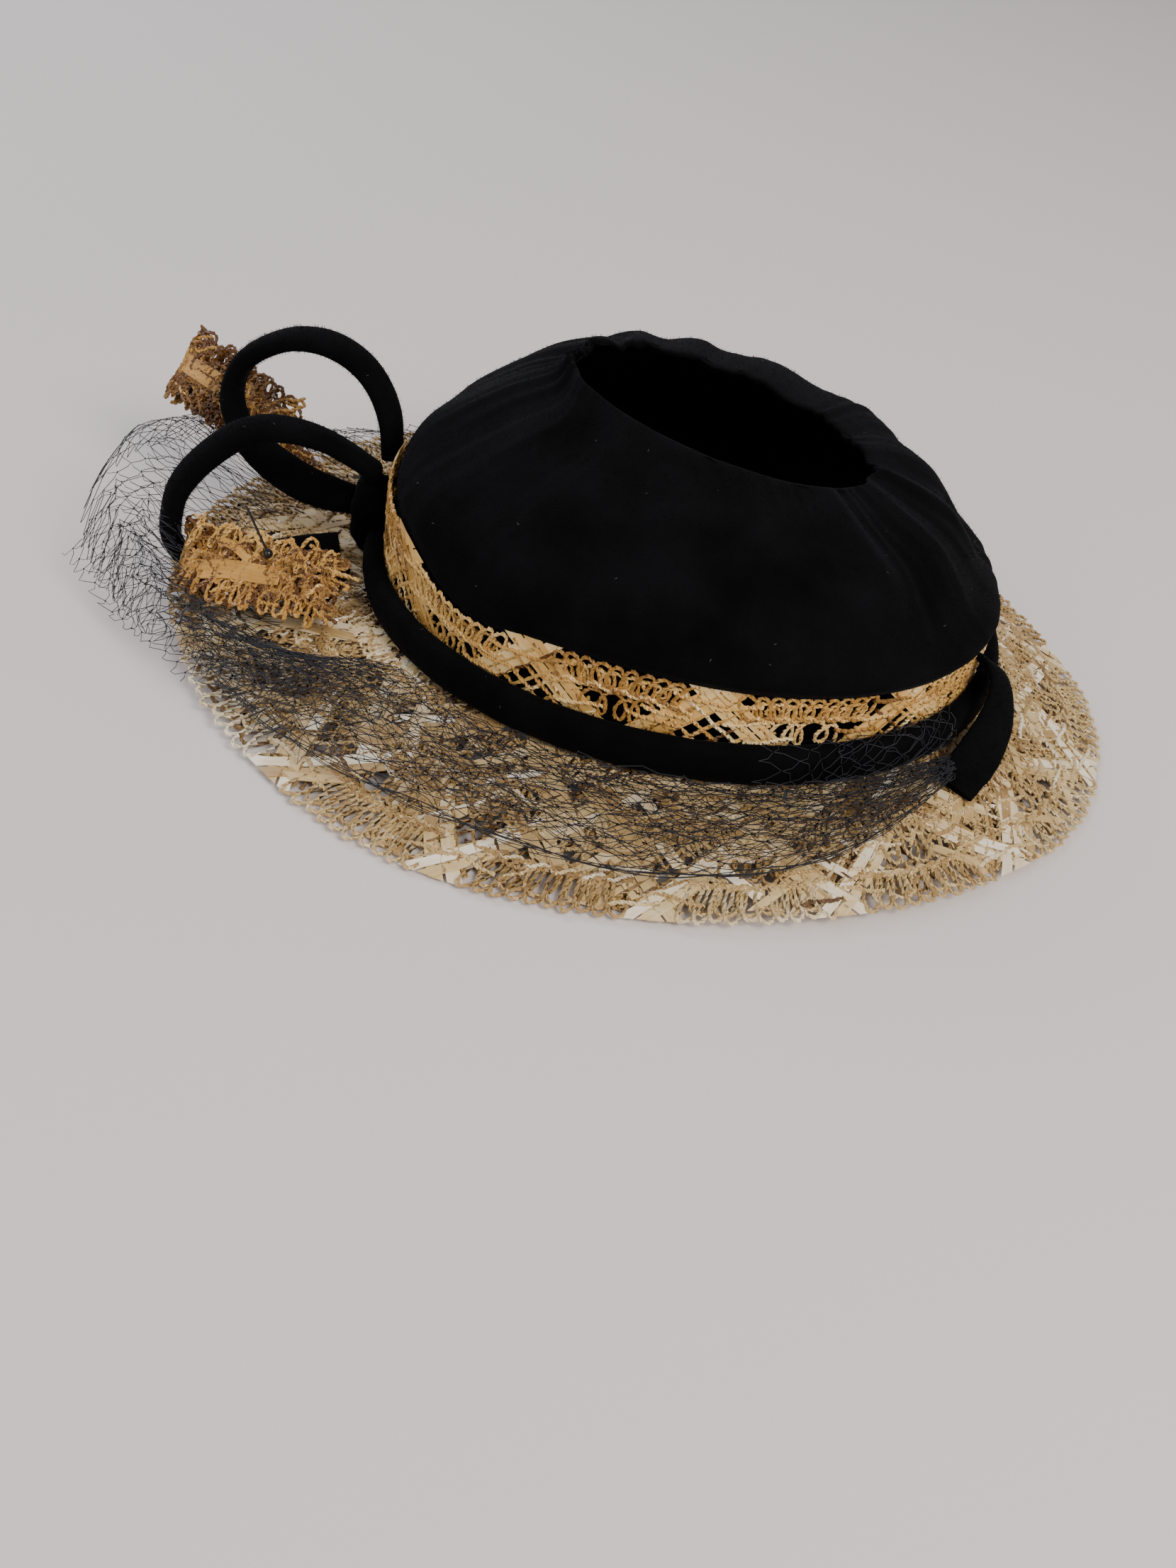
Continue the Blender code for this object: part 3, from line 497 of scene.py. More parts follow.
class Braid:
    """One row of straw lace on a surface, worked in millimetres along it and shares across it.

    Two braids made with the same numbers have their folds in the same places, so that the lace and
    the coils of one row can be two pieces.
    """

    def __init__(self, surface, facing, repeats, low, high, sizes, seed, tone=0.5, offset=0.0):
        turns = np.linspace(0, 1, 721)
        edges = [surface(turns, np.full(721, share)) for share in (low, high)]
        self.length = np.linalg.norm(np.diff((edges[0] + edges[1]) / 2, axis=0), axis=1).sum() / MM
        self.width = np.linalg.norm(edges[1] - edges[0], axis=1).mean() / MM
        self.surface = lambda u, v: surface(u / self.length, low + (high - low) * v)
        self.facing, self.repeats, self.sizes = facing, repeats, sizes
        self.period = self.length / repeats
        self.rng = np.random.default_rng(seed)
        self.solids, self.tones, self.tone = [], [], tone
        centres = (np.arange(repeats) + 0.5 + offset) * self.period
        self.centres = centres + self.rng.normal(0, self.period * 0.03, repeats)
        self.valleys = self.centres + self.period / 2

    def keep(self, solid, strands, shift=0.0, spread=0.20):
        self.solids.append(solid)
        self.tones.append(strand_tones(solid, strands, self.rng, self.tone + shift, spread))

    def twist(self, u, v, w, width, thickness, pitch=5.0, shift=0.0):
        """Twisted straws through (strands, stations) places in mm along, shares across and mm above."""
        path, normal = lay(self.surface, u, v, w * MM, self.facing)
        self.keep(twisted(path, normal, width * MM, thickness * MM, pitch * MM, self.rng), len(u), shift)

    def flat(self, u, v, w, width, shift=0.2, spread=0.14, thickness=0.35):
        """Flat straws whose width lies along the braid, their tone shifted up and spread towards the light
        and pale stops: a painted glint.
        """
        lean = np.broadcast_to(np.array([1.0, 0.0]), (*u.shape, 2))
        solid = flat_straw(self.surface, u, v, w * MM, lean, width * MM, thickness * MM, self.facing)
        self.keep(solid, len(u), shift, spread)

    def legs(self, above, lanes=2, top=1.0, bottom=0.0):
        """Flat straws that run up to a fold at the top edge and down again, their ends cut along the edge.

        Along is the fold's place plus or minus half a period times the share still to climb. Each
        leg is two lanes side by side, and it bends over the edge in its last few millimetres.
        """
        climb = np.linspace(bottom, top + 0.03, 14)
        straw = self.sizes.flat_straw / MM / lanes
        slope = np.hypot(self.period / 2, self.width) / self.width
        for sign, lift in ((-1, 0.0), (1, 0.5)):
            for lane in range(lanes):
                offset = (lane - (lanes - 1) / 2) * straw * slope * 1.10
                u = self.centres[:, None] + sign * self.period / 2 * (1 - climb) * 0.94 + offset
                u = u - sign * straw * 0.9
                v = np.broadcast_to(climb, u.shape)
                w = above + lift + 0.15 * lane + 0.35 * ripple(31 + lane, u / 5, v * 4)
                w = w - 1.7 * np.clip((v - 0.94) / 0.09, 0, 1) ** 2
                self.flat(u, v, w, straw * slope)

    def lattice(self, centres, above, reach=1.0, spacing=6.4, slant=1.0, shift=0.0):
        """Open work under each fold: slanting twisted straws that cross, over and under by a cosine.

        Each one starts on the lower edge and climbs until it has passed under a leg.
        """
        half = self.period / 2
        starts = np.arange(-half + spacing / 2, half, spacing)
        share = np.linspace(0, 1, 19)
        for sign in (-1, 1):
            start = (centres[:, None] + starts).ravel()
            start = start + self.rng.normal(0, 0.45, start.size)
            from_fold = np.tile(starts, centres.size) * sign
            height = np.clip((half - from_fold) / (half + half * slant) * 1.12, 0.12, 0.96) * reach
            v = share * height[:, None]
            u = start[:, None] + sign * half * slant * v + 0.5 * ripple(5, v * 16, start[:, None])
            w = above + sign * 0.7 * np.cos(FULL * v * self.width / spacing)
            self.twist(u, v, w, self.sizes.strand / MM * 0.9, 0.7, 7.0, shift)

    def coil(self, starts, run, foot, top, above, pitch, fan=0.0, uneven=0.6, shift=0.0):
        """Straws wound in loops along the braid, one from each start, like a row of joined letters e.

        Along grows evenly and swings by a sine, so that the loops overlap, across is a cosine between
        the foot and the top, and above is that sine again, so each loop's rising side lies over the
        falling side of the one before. Fan leans the loops away from the middle of the run, and
        ripples make them uneven.
        """
        loops = max(round(run / pitch), 2)
        angle = np.linspace(0, loops, loops * 17 + 1)[None] * FULL
        share = angle / angle[0, -1]
        seed = int(self.rng.integers(10**6))
        place = np.asarray(starts, float)[:, None] + 0 * angle
        size = 1 + 0.22 * uneven * ripple(seed, angle / 3, place)
        across = -np.cos(angle) * size
        v = (foot + top) / 2 + (top - foot) / 2 * across
        swing = 0.50 * pitch * (1 + 0.5 * uneven * ripple(seed + 1, angle / 4, place)) * np.sin(angle)
        drift = 0.9 * uneven * ripple(seed + 2, angle / 5, place)
        u = place + share * run + fan * (share - 0.5) * run * (across + 1) / 2 - swing + drift
        w = above + 0.75 * np.sin(angle) + 0.5 * uneven * ripple(seed + 3, angle / 4, place)
        self.twist(u, v, w, self.sizes.strand / MM * 0.9, 0.7, 7.0, shift)

    def fans(self, above, edge=1.0):
        """Tiers of coils between one fold and the next, with a twined cord between the tiers."""
        tiers = (
            (0.60, edge, 3.7, 0.66, 0.22, 0.7, 0.30),
            (0.64, edge - 0.10, 5.2, 0.58, 0.10, 1.6, -0.90),
            (0.22, 0.58, 5.0, 0.36, 0.00, 1.9, 0.25),
        )
        for foot, top, pitch, share, fan, uneven, lift in tiers:
            run = self.period * share
            self.coil(self.valleys - run / 2, run, foot, top, above + lift, pitch, fan, uneven)
        half = self.period / 2
        run = np.linspace(-half * 0.74, half * 0.74, 60)
        for phase in (0, np.pi):
            u = self.valleys[:, None] + run
            v = 0.58 + 0.03 * np.cos(FULL * run / 8 + phase) + 0.06 * np.cos(run / half * 2)
            w = above + 0.8 + 0.6 * np.sin(FULL * run / 8 + phase)
            self.twist(u, np.broadcast_to(v, u.shape), np.broadcast_to(w, u.shape), 1.3, 0.7)

    def edge_cord(self, at, above, wave=0.03, step=6.0, shift=0.0):
        """Two twisted straws that twine along the braid: across and above follow a cosine and a sine."""
        pieces = self.repeats * 2
        run = np.linspace(0, self.length / pieces * 1.04, 30)
        u = np.arange(pieces)[:, None] * self.length / pieces + run
        for phase in (0, np.pi):
            v = at + wave * np.cos(FULL * u / step + phase)
            w = above + 0.6 * np.sin(FULL * u / step + phase)
            self.twist(u, v, w, self.sizes.strand / MM * 0.85, 0.7, 4.6, shift)

    def ties(self, above):
        """Short twisted straws that lie across the legs of each fold and hold them down."""
        half = self.period / 2
        run = np.linspace(-7.5, 7.5, 20)
        for sign in (-1, 1):
            for at in (0.34, 0.56, 0.78):
                middle = self.centres + sign * half * (1 - at) * 0.94
                middle = middle + self.rng.normal(0, 0.8, len(self.centres))
                u = middle[:, None] + run
                v = at + self.rng.normal(0, 0.04, (len(self.centres), 1)) + 0.006 * run * sign
                w = above + 1.2 - 1.8 * (np.abs(run) / 7.5) ** 3
                v = v + 0.02 * np.sin(run / 2.4)
                self.twist(u, v, np.broadcast_to(w, u.shape), 1.4, 0.7, 5.0, 0.05)

    def tangle(self, count, low, high, above, reach=8.0, shift=0.0):
        """Loose twisted straws strewn at random: each a short curve that sways and dips at its ends."""
        rng = self.rng
        at, across = rng.uniform(0, self.length, (count, 1)), rng.uniform(low, high, (count, 1))
        heading = rng.uniform(-1.1, 1.1, (count, 1))
        share = np.linspace(-1, 1, 14)[None]
        run = share * reach / 2 * rng.uniform(0.6, 1.4, (count, 1))
        sway = rng.normal(0, 1.0, (count, 1)) * np.sin(run * 0.7)
        u = at + run * np.cos(heading) - sway * np.sin(heading)
        v = across + (run * np.sin(heading) + sway * np.cos(heading)) / self.width
        w = above + rng.uniform(-0.4, 0.8, (count, 1)) - 1.1 * share**2
        self.twist(u, v, w, self.sizes.strand / MM * 0.9, 0.65, 5.0, shift)

    def lace(self, above):
        self.legs(above)
        self.lattice(self.centres, above - 0.2)
        self.ties(above)
        self.edge_cord(0.03, above)
        return self

    def crossings(self, above, count):
        """Short flat straws woven in at a slant, each dipping under its neighbours at both ends."""
        rng = self.rng
        share = np.linspace(-1, 1, 9)[None]
        slant = rng.choice([-1.0, 1.0], (count, 1)) * rng.uniform(0.7, 1.3, (count, 1))
        reach = rng.uniform(4.5, 9.0, (count, 1))
        u = rng.uniform(0, self.length, (count, 1)) + share * reach * slant
        v = rng.uniform(0.25, 0.80, (count, 1)) + share * reach / self.width
        w = above + 1.3 - 2.2 * share**4 + rng.uniform(-0.4, 0.5, (count, 1))
        # Tone shifted up with a wide spread, so that some reach the pale stop: painted glints
        self.flat(u, v, w, self.sizes.flat_straw / MM * 0.62, shift=0.18, spread=0.28)

    def coils(self, above, edge=1.0, loose=160):
        self.fans(above, edge)
        self.tangle(loose, 0.08, 0.92, above + 0.2)
        return self


def node(tree, kind, inputs=(), **settings):
    """Adds a node, sets its settings, and sets or links its inputs, given as (socket, value) pairs."""
    made = tree.nodes.new(kind)
    for name, value in settings.items():
        setattr(made, name, value)
    for socket, value in inputs:
        if isinstance(value, bpy.types.NodeSocket):
            tree.links.new(value, made.inputs[socket])
        else:
            made.inputs[socket].default_value = value
    return made


def new_material(name):
    material = bpy.data.materials.new(name)
    material.use_nodes = True
    return material, material.node_tree, material.node_tree.nodes["Principled BSDF"]


def ramp(tree, value, stops):
    """A colour ramp from (place, colour) stops."""
    made = node(tree, "ShaderNodeValToRGB", [("Fac", value)])
    elements = made.color_ramp.elements
    while len(elements) < len(stops):
        elements.new(0.5)
    for element, (place, colour) in zip(elements, stops):
        element.position = place
        element.color = (*colour, 1)
    return made.outputs["Color"]


def straw_finish(name, dark, middle, light, pale):
    """Split and plaited wheat straw: a waxy, lengthwise-grained skin, which glints along its length.

    The tone of each strand picks its colour from the ramp, and two noises stretched along the strand
    give it the stem's fine ribs, about 0.25 mm apart, and its slow stains. The ramp's dark stop is
    partly painted shade and its light and pale stops partly painted highlights and glints; the rest
    is real tone that differs from strand to strand.
    """
    material, tree, shader = new_material(name)
    tone = node(tree, "ShaderNodeAttribute", attribute_name="tone").outputs["Fac"]
    coordinates = node(tree, "ShaderNodeTexCoord")
    stretched = node(
        tree, "ShaderNodeMapping", [("Vector", coordinates.outputs["UV"]), ("Scale", (60, 14, 1))]
    ).outputs["Vector"]
    grain = node(tree, "ShaderNodeTexNoise", [("Vector", stretched), ("Scale", 1.0), ("Detail", 2.0)])
    blotch = node(
        tree,
        "ShaderNodeTexNoise",
        [("Vector", coordinates.outputs["Object"]), ("Scale", 90.0), ("Detail", 2.0)],
    )
    summed = node(
        tree, "ShaderNodeMath", [(0, blotch.outputs["Fac"]), (1, 0.55), (2, tone)], operation="MULTIPLY_ADD"
    )
    mixed = node(
        tree, "ShaderNodeMath", [(0, grain.outputs["Fac"]), (1, 0.30), (2, summed.outputs[0])],
        operation="MULTIPLY_ADD",
    )
    centred = node(tree, "ShaderNodeMath", [(0, mixed.outputs[0]), (1, 0.43)], operation="SUBTRACT")
    # Dark stop partly painted shade, light and pale stops partly painted highlights and glints, picked per
    # strand
    colour = ramp(tree, centred.outputs[0], [(0.05, dark), (0.38, middle), (0.68, light), (0.97, pale)])
    tree.links.new(colour, shader.inputs["Base Color"])
    bump = node(
        tree, "ShaderNodeBump", [("Height", grain.outputs["Fac"]), ("Strength", 0.35), ("Distance", 0.0002)]
    )
    tree.links.new(bump.outputs["Normal"], shader.inputs["Normal"])
    shader.inputs["Roughness"].default_value = 0.33
    shader.inputs["IOR"].default_value = 1.50
    shader.inputs["Specular IOR Level"].default_value = 0.6
    return material


LINT_COLOUR = linear("#55575E")


def velvet_finish(name, colour, sheen):
    """Cotton velvet, woven with a short upright pile: near black face on, and a soft blue-grey edge
    where the pile is seen from its side. Pile tufts, 0.3 mm in life, are drawn 0.7 mm wide so that
    they show. A tone of 1 is lint."""
    material, tree, shader = new_material(name)
    coordinates = node(tree, "ShaderNodeTexCoord").outputs["Object"]
    pile = node(tree, "ShaderNodeTexNoise", [("Vector", coordinates), ("Scale", 1400.0), ("Detail", 1.0)])
    nap = node(tree, "ShaderNodeTexNoise", [("Vector", coordinates), ("Scale", 45.0), ("Detail", 3.0)])
    # The nap noise picks between a darker and a lighter copy of the velvet colour: painted shade and painted
    # sheen patches, not wear
    deep, painted_sheen = (tuple(c * share for c in colour) for share in (0.45, 1.7))
    shade = ramp(tree, nap.outputs["Fac"], [(0.30, deep), (0.75, painted_sheen)])
    tone = node(tree, "ShaderNodeAttribute", attribute_name="tone").outputs["Fac"]
    specked = node(
        tree, "ShaderNodeMix", [("Factor", tone), (6, shade), (7, (*LINT_COLOUR, 1))], data_type="RGBA"
    )
    tree.links.new(specked.outputs[2], shader.inputs["Base Color"])
    bump = node(
        tree, "ShaderNodeBump", [("Height", pile.outputs["Fac"]), ("Strength", 0.6), ("Distance", 0.0004)]
    )
    tree.links.new(bump.outputs["Normal"], shader.inputs["Normal"])
    shader.inputs["Roughness"].default_value = 0.95
    shader.inputs["Specular IOR Level"].default_value = 0.06
    shader.inputs["Sheen Weight"].default_value = 0.045
    shader.inputs["Sheen Roughness"].default_value = 0.35
    shader.inputs["Sheen Tint"].default_value = (*sheen, 1)
    return material


def thread_finish(name, colour):
    """Knotted silk net thread: fine, dark and slightly lustrous."""
    material, tree, shader = new_material(name)
    tone = node(tree, "ShaderNodeAttribute", attribute_name="tone").outputs["Fac"]
    shade = ramp(tree, tone, [(0.2, tuple(c * 0.6 for c in colour)), (0.9, tuple(c * 1.8 for c in colour))])
    tree.links.new(shade, shader.inputs["Base Color"])
    shader.inputs["Roughness"].default_value = 0.5
    return material


class HatSizes(bpy.types.PropertyGroup):
    strand: bpy.props.FloatProperty(
        name="Strand width", description="Width of a twisted straw strand",
        default=0.00135, min=0.0005, max=0.004, unit="LENGTH", precision=5,
    )
    flat_straw: bpy.props.FloatProperty(
        name="Flat straw width", description="Width of a flat straw",
        default=0.0075, min=0.002, max=0.015, unit="LENGTH", precision=5,
    )
    side_band_repeats: bpy.props.IntProperty(
        name="Folds on the side band",
        description="How often the braid's pattern repeats round the side band",
        default=11, min=6, max=20,
    )
    brim_repeats: bpy.props.IntProperty(
        name="Folds on the rim", description="How often the braid's pattern repeats round the rim",
        default=15, min=8, max=24,
    )
    net_mesh: bpy.props.FloatProperty(
        name="Net mesh", description="Distance between two knots of the net",
        default=0.0068, min=0.003, max=0.02, unit="LENGTH", precision=5,
    )
    net_thread: bpy.props.FloatProperty(
        name="Net thread", description="Thickness of the net's thread",
        default=0.00017, min=0.0001, max=0.001, unit="LENGTH", precision=5,
    )


class HatColours(bpy.types.PropertyGroup):
    gold: bpy.props.FloatVectorProperty(
        name="Gold straw", description="Middle colour of the side band's straw",
        default=linear("#B98A45"), min=0, max=1, size=3, subtype="COLOR",
    )
    tan: bpy.props.FloatVectorProperty(
        name="Tan straw", description="Middle colour of the brim's straw",
        default=linear("#AE8D5A"), min=0, max=1, size=3, subtype="COLOR",
    )
    velvet: bpy.props.FloatVectorProperty(
        name="Velvet", description="Colour of the velvet",
        default=linear("#070709"), min=0, max=1, size=3, subtype="COLOR",
    )
    net: bpy.props.FloatVectorProperty(
        name="Net", description="Colour of the net's thread",
        default=linear("#23252C"), min=0, max=1, size=3, subtype="COLOR",
    )
    floor: bpy.props.FloatVectorProperty(
        name="Floor", description="Colour of the floor",
        default=linear("#DAD4D4"), min=0, max=1, size=3, subtype="COLOR",
    )


def shared_material(name, make):
    """The material of that name, made the first time that a piece asks for it."""
    return bpy.data.materials.get(name) or make()


def gold_straw():
    """Side band and tabs: straw kept its rich gold under the trim. Its dark stop is partly painted shade and
    its light and pale stops partly painted highlights.
    """
    middle = tuple(getattr(bpy.context.scene, COLOURS).gold)
    return shared_material("gold_plaited_straw", lambda: straw_finish(
        "gold_plaited_straw", linear("#5C3713"), middle, linear("#D9B068"), linear("#F3DDAA")
    ))


def tan_straw():
    """Brim: straw bleached to tan, with cream stops that are painted highlights and glints, and a brown stop
    that is partly a real darker tone and partly painted shade.
    """
    middle = tuple(getattr(bpy.context.scene, COLOURS).tan)
    return shared_material("tan_plaited_straw", lambda: straw_finish(
        "tan_plaited_straw", linear("#573B22"), middle, linear("#D3B987"), linear("#F5ECD8")
    ))


def black_velvet():
    colour = tuple(getattr(bpy.context.scene, COLOURS).velvet)
    return shared_material("black_cotton_velvet", lambda: velvet_finish(
        "black_cotton_velvet", colour, linear("#8C97AA")
    ))


def net_thread():
    colour = tuple(getattr(bpy.context.scene, COLOURS).net)
    return shared_material("slate_silk_thread", lambda: thread_finish("slate_silk_thread", colour))


def rounded(sides, squareness):
    """Points of a rounded outline half a unit across each half, counter-clockwise."""
    angle = FULL * (np.arange(sides) + 0.5) / sides
    across = np.stack([np.cos(angle), np.sin(angle)], axis=-1)
    shape = np.sign(across) * np.abs(across) ** (2 / squareness)
    return 0.5 * shape / np.abs(shape).max(axis=0)


def crown_surface(turns, places):
    """Outer face of the velvet puff: ellipses that shrink and rise, with gathers.

    Every ring is an ellipse whose height grows towards the back. Wide folds follow a cosine round
    the crown, and fine gathers, uneven ripples with sharp creases, deepen towards the opening.
    """
    row = columns(CROWN_COLUMNS, smooth_open(CROWN, places))
    level = ellipse(turns, row["centre_x"], row["half_length"], row["half_width"])
    level[..., 1] += row["centre_y"]
    height = row["height"] + row["slope"] * (level[..., 0] - row["centre_x"]) - row["sag"] * sag(turns)
    fold = np.cos(FULL * GATHERS * turns + 0.9 * np.sin(3 * FULL * turns)) * row["gather"]
    near = np.clip(places / 6.0, 0, 1)
    angle = FULL * turns
    fine = 0.5 - 2.4 * np.abs(ripple(12, 16 * np.cos(angle), 16 * np.sin(angle), places * 0.30))
    fine = fine + 0.9 * ripple(13, 34 * np.cos(angle), 34 * np.sin(angle), places * 0.45)
    depth = 0.00020 + 0.00075 * near**2
    patch = 0.55 + 0.45 * np.sin(3 * angle + 1.3) * np.sin(5 * angle + places * 0.35)
    fold = fold + fine * depth * patch
    broad = 0.0008 * ripple(8, 9 * np.cos(angle), 9 * np.sin(angle), places * 0.8) * np.clip(places, 0, 1)
    out = outward(turns, row["half_length"], row["half_width"])
    level = level + out * (fold + broad)[..., None]
    return np.concatenate([level, (height + fold * 0.6 + broad * 0.5)[..., None]], axis=-1)


class STRAWHAT_OT_crown(bpy.types.Operator):
    """Make the gathered velvet crown, one closed wall that is open at the top"""

    bl_idname = "straw_hat.crown"
    bl_label = "Velvet Crown"

    def execute(self, context):
        stations = 400
        turns = np.arange(stations) / stations
        wall = ellipse(turns, CROWN_CENTRE_X, HEAD_LENGTH + VELVET_WALL, HEAD_WIDTH + VELVET_WALL)
        top = fold_height(turns, wall[:, 0])
        lift = np.linspace(0, 1, 7)[:, None]
        upright = np.stack(
            [np.broadcast_to(wall[:, 0], (7, stations)), np.broadcast_to(wall[:, 1], (7, stations)),
             CROWN_FOOT + (top - CROWN_FOOT) * lift], axis=-1,
        )
        places = np.linspace(0, 6.75, 40)
        outer = np.concatenate([upright, crown_surface(*np.meshgrid(turns, places))])
        along = np.gradient(outer, axis=0)
        around = np.roll(outer, -1, axis=1) - np.roll(outer, 1, axis=1)
        inner = outer - unit(np.cross(around, along)) * VELVET_WALL
        inner[0, :, 2] = outer[0, :, 2]
        rings = np.concatenate([outer, inner[::-1]])
        count = len(rings)
        number = np.arange(count * stations).reshape(count, stations)
        above = np.roll(number, -1, axis=0)
        faces = np.stack([number, np.roll(number, -1, 1), np.roll(above, -1, 1), above], axis=-1)
        uv = np.stack(np.meshgrid(turns, np.arange(count) / count), axis=-1)
        solid = rings.reshape(-1, 3), faces.reshape(-1, 4), uv.reshape(-1, 2)
        crown = velvet_piece("velvet_crown_shell", solid, "velvet_crown", 81, CROWN_PILE_PER_SQUARE_MM)
        return {"FINISHED"}


def scattered(solid, per_square_mm, rng):
    """Random places on a solid's faces, as many to the area, and the faces' outward normals there."""
    corners = solid[0][solid[1]]
    crossed = np.cross(corners[:, 2] - corners[:, 0], corners[:, 3] - corners[:, 1])
    area = np.linalg.norm(crossed, axis=1) / 2
    count = int(area.sum() / MM**2 * per_square_mm)
    face = rng.choice(len(area), count, p=area / area.sum())
    a, b = rng.random((2, count, 1))
    near, far = (corners[face, k] * (1 - a) + corners[face, m] * a for k, m in ((0, 1), (3, 2)))
    return near * (1 - b) + far * b, unit(crossed[face])


def fibres(points, normals, length, width, lean, rng):
    """Thin upright slips, one a point: each stands along the normal and leans a little at random."""
    wild = rng.normal(size=points.shape)
    aside = unit(np.cross(normals, wild)) * width / 2
    tip = points + unit(normals + lean * wild) * length * rng.uniform(0.4, 1.0, (len(points), 1))
    corners = np.stack([points - aside, points + aside, tip + aside * 0.4, tip - aside * 0.4], axis=1)
    return corners.reshape(-1, 3), np.arange(4 * len(points)).reshape(-1, 4), np.zeros((4 * len(points), 2))


def velvet_piece(name, solid, stands_for, seed, pile_density=PILE_PER_SQUARE_MM):
    """A velvet piece with its pile, which shows as fuzz along its edges, and a few pale specks of lint."""
    rng = np.random.default_rng(seed)
    pile = fibres(*scattered(solid, pile_density, rng), PILE_LENGTH, PILE_WIDTH, 0.35, rng)
    lint = fibres(*scattered(solid, LINT_PER_SQUARE_MM, rng), LINT_LENGTH, PILE_WIDTH, 3.0, rng)
    tones = [np.zeros(len(solid[0])), np.zeros(len(pile[0])), np.ones(len(lint[0]))]
    return make_piece(
        name, [solid, pile, lint], black_velvet(), [stands_for], tones=tones, sharp=80
    )


def velvet_roll(path, side, over, width, thickness, seed, sides=20):
    """A soft roll of velvet: a rounded outline whose size swells and pinches a little along the path."""
    length = np.cumsum(np.linalg.norm(np.diff(path, axis=1, prepend=path[:, :1]), axis=-1), axis=1)
    swell = 1 + 0.035 * ripple(seed, length * 160) + 0.02 * ripple(seed + 1, length * 700)
    swell = swell[..., None]
    return carried(path, side * width * swell, over * thickness * (2 - swell), rounded(sides, 2.4))


class STRAWHAT_OT_trim(bpy.types.Operator):
    """Make the velvet pieces of the trim: rolled band, knot, two loops, cut end and back strap"""

    bl_idname = "straw_hat.trim"
    bl_label = "Velvet Trim"

    def execute(self, context):
        self.band()
        self.loop("velvet_loop_near_roll", LOOP_NEAR, "velvet_loop_near", 61)
        self.loop("velvet_loop_far_roll", LOOP_FAR, "velvet_loop_far", 67)
        self.knot()
        self.flat_pieces()
        return {"FINISHED"}

    def band(self):
        clearance = VELVET_WALL + BAND_GAP + STRAW_WALL + CLEAR + TUBE_HALF_THICKNESS
        half_length, half_width = HEAD_LENGTH + clearance, HEAD_WIDTH + clearance
        opening = TUBE_FRONT_OPENING / (FULL * half_width)
        middle = 0.5 - KNOT_CENTRE[1] / (FULL * half_width)
        turns = np.linspace(middle + opening, middle + 1 - opening, 420)[None]
        level = ellipse(turns, CROWN_CENTRE_X, half_length, half_width)
        path = np.concatenate([level, np.full((*turns.shape, 1), TUBE_HEIGHT)], axis=-1)
        out = np.concatenate([outward(turns, half_length, half_width), np.zeros((*turns.shape, 1))], axis=-1)
        up = np.broadcast_to(np.array([0.0, 0.0, 1.0]), path.shape)
        along = np.cross(out, up)
        flip = np.sign(np.sum(along * np.gradient(path, axis=1), axis=-1, keepdims=True))
        solid = velvet_roll(path, out * flip, up, 2 * TUBE_HALF_THICKNESS, 2 * TUBE_HALF_HEIGHT, 41)
        band = velvet_piece("velvet_band_roll", solid, "velvet_band", 82, BAND_PILE_PER_SQUARE_MM)

    def loop(self, name, table, stands_for, seed):
        path, read = read_path(LOOP_COLUMNS, table, 150)
        width, twist = read["width"][:, None] * MM, np.radians(read["twist"])[:, None]
        chord = path[len(path) // 2] - path[0]
        along = unit(np.gradient(path, axis=0))
        level = square_to(along, np.tile([chord[1], -chord[0], 0.0], (len(path), 1)))
        side = level * np.cos(twist) + np.cross(along, level) * np.sin(twist)
        over = np.cross(along, side)
        solid = velvet_roll(path[None], side[None], over[None], width[None], LOOP_THICKNESS, seed)
        velvet_piece(name, solid, stands_for, seed + 1)

    def knot(self):
        """A rounded block wound with velvet: a sphere drawn towards its corners, with a few soft folds."""
        rises, ways = np.linspace(-0.47, 0.47, 41) * np.pi, np.arange(48) / 48 * FULL
        rise, turn = np.meshgrid(rises, ways, indexing="ij")
        ball = np.stack([np.cos(rise) * np.cos(turn), np.cos(rise) * np.sin(turn), np.sin(rise)], axis=-1)
        power = (np.abs(ball) ** KNOT_SQUARENESS).sum(axis=-1, keepdims=True) ** (-1 / KNOT_SQUARENESS)
        fold = 1 + 0.035 * np.sin(5 * rise * 2 + 1.5 * np.sin(turn))[..., None]
        points = np.array(KNOT_CENTRE) + ball * power * fold * np.array(KNOT_HALF)
        rings, around = points.shape[:2]
        number = np.arange(rings * around).reshape(rings, around)
        here, there = number[:-1], number[1:]
        walls = np.stack([here, np.roll(here, -1, 1), np.roll(there, -1, 1), there], axis=-1).reshape(-1, 4)
        k = np.arange(around // 2 - 1)
        end = np.stack([k, k + 1, around - 2 - k, around - 1 - k], axis=-1)
        faces = np.concatenate([walls, number[0][end[:, ::-1]], number[-1][end]])
        uv = np.stack([turn / FULL, rise], axis=-1).reshape(-1, 2)
        knot = velvet_piece("trim_knot_wrap", (points.reshape(-1, 3), faces, uv), "trim_knot", 83)

    def flat_pieces(self):
        path, _ = read_path(PATH_COLUMNS, STRAP, 70)
        along = unit(np.gradient(path, axis=0))
        share = np.linspace(0, 1, len(path))[:, None]
        out = np.array(STRAP_FACES_AT_START) * (1 - share) + np.array(STRAP_FACES_AT_END) * share
        over = square_to(along, out)
        side = np.cross(over, along)
        solid = velvet_roll(path[None], side[None], over[None], STRAP_WIDTH, STRAP_THICKNESS, 71)
        strap = velvet_piece("back_strap_velvet", solid, "back_strap", 84)
        path, _ = read_path(PATH_COLUMNS, TAIL, 40)
        along = unit(np.gradient(path, axis=0))
        side = unit(np.cross([0.0, 0.0, 1.0], along))
        solid = velvet_roll(
            path[None], side[None], np.cross(along, side)[None], TAIL_WIDTH, TAIL_THICKNESS, 73
        )
        velvet_piece("velvet_tail_end", solid, "velvet_tail", 85)


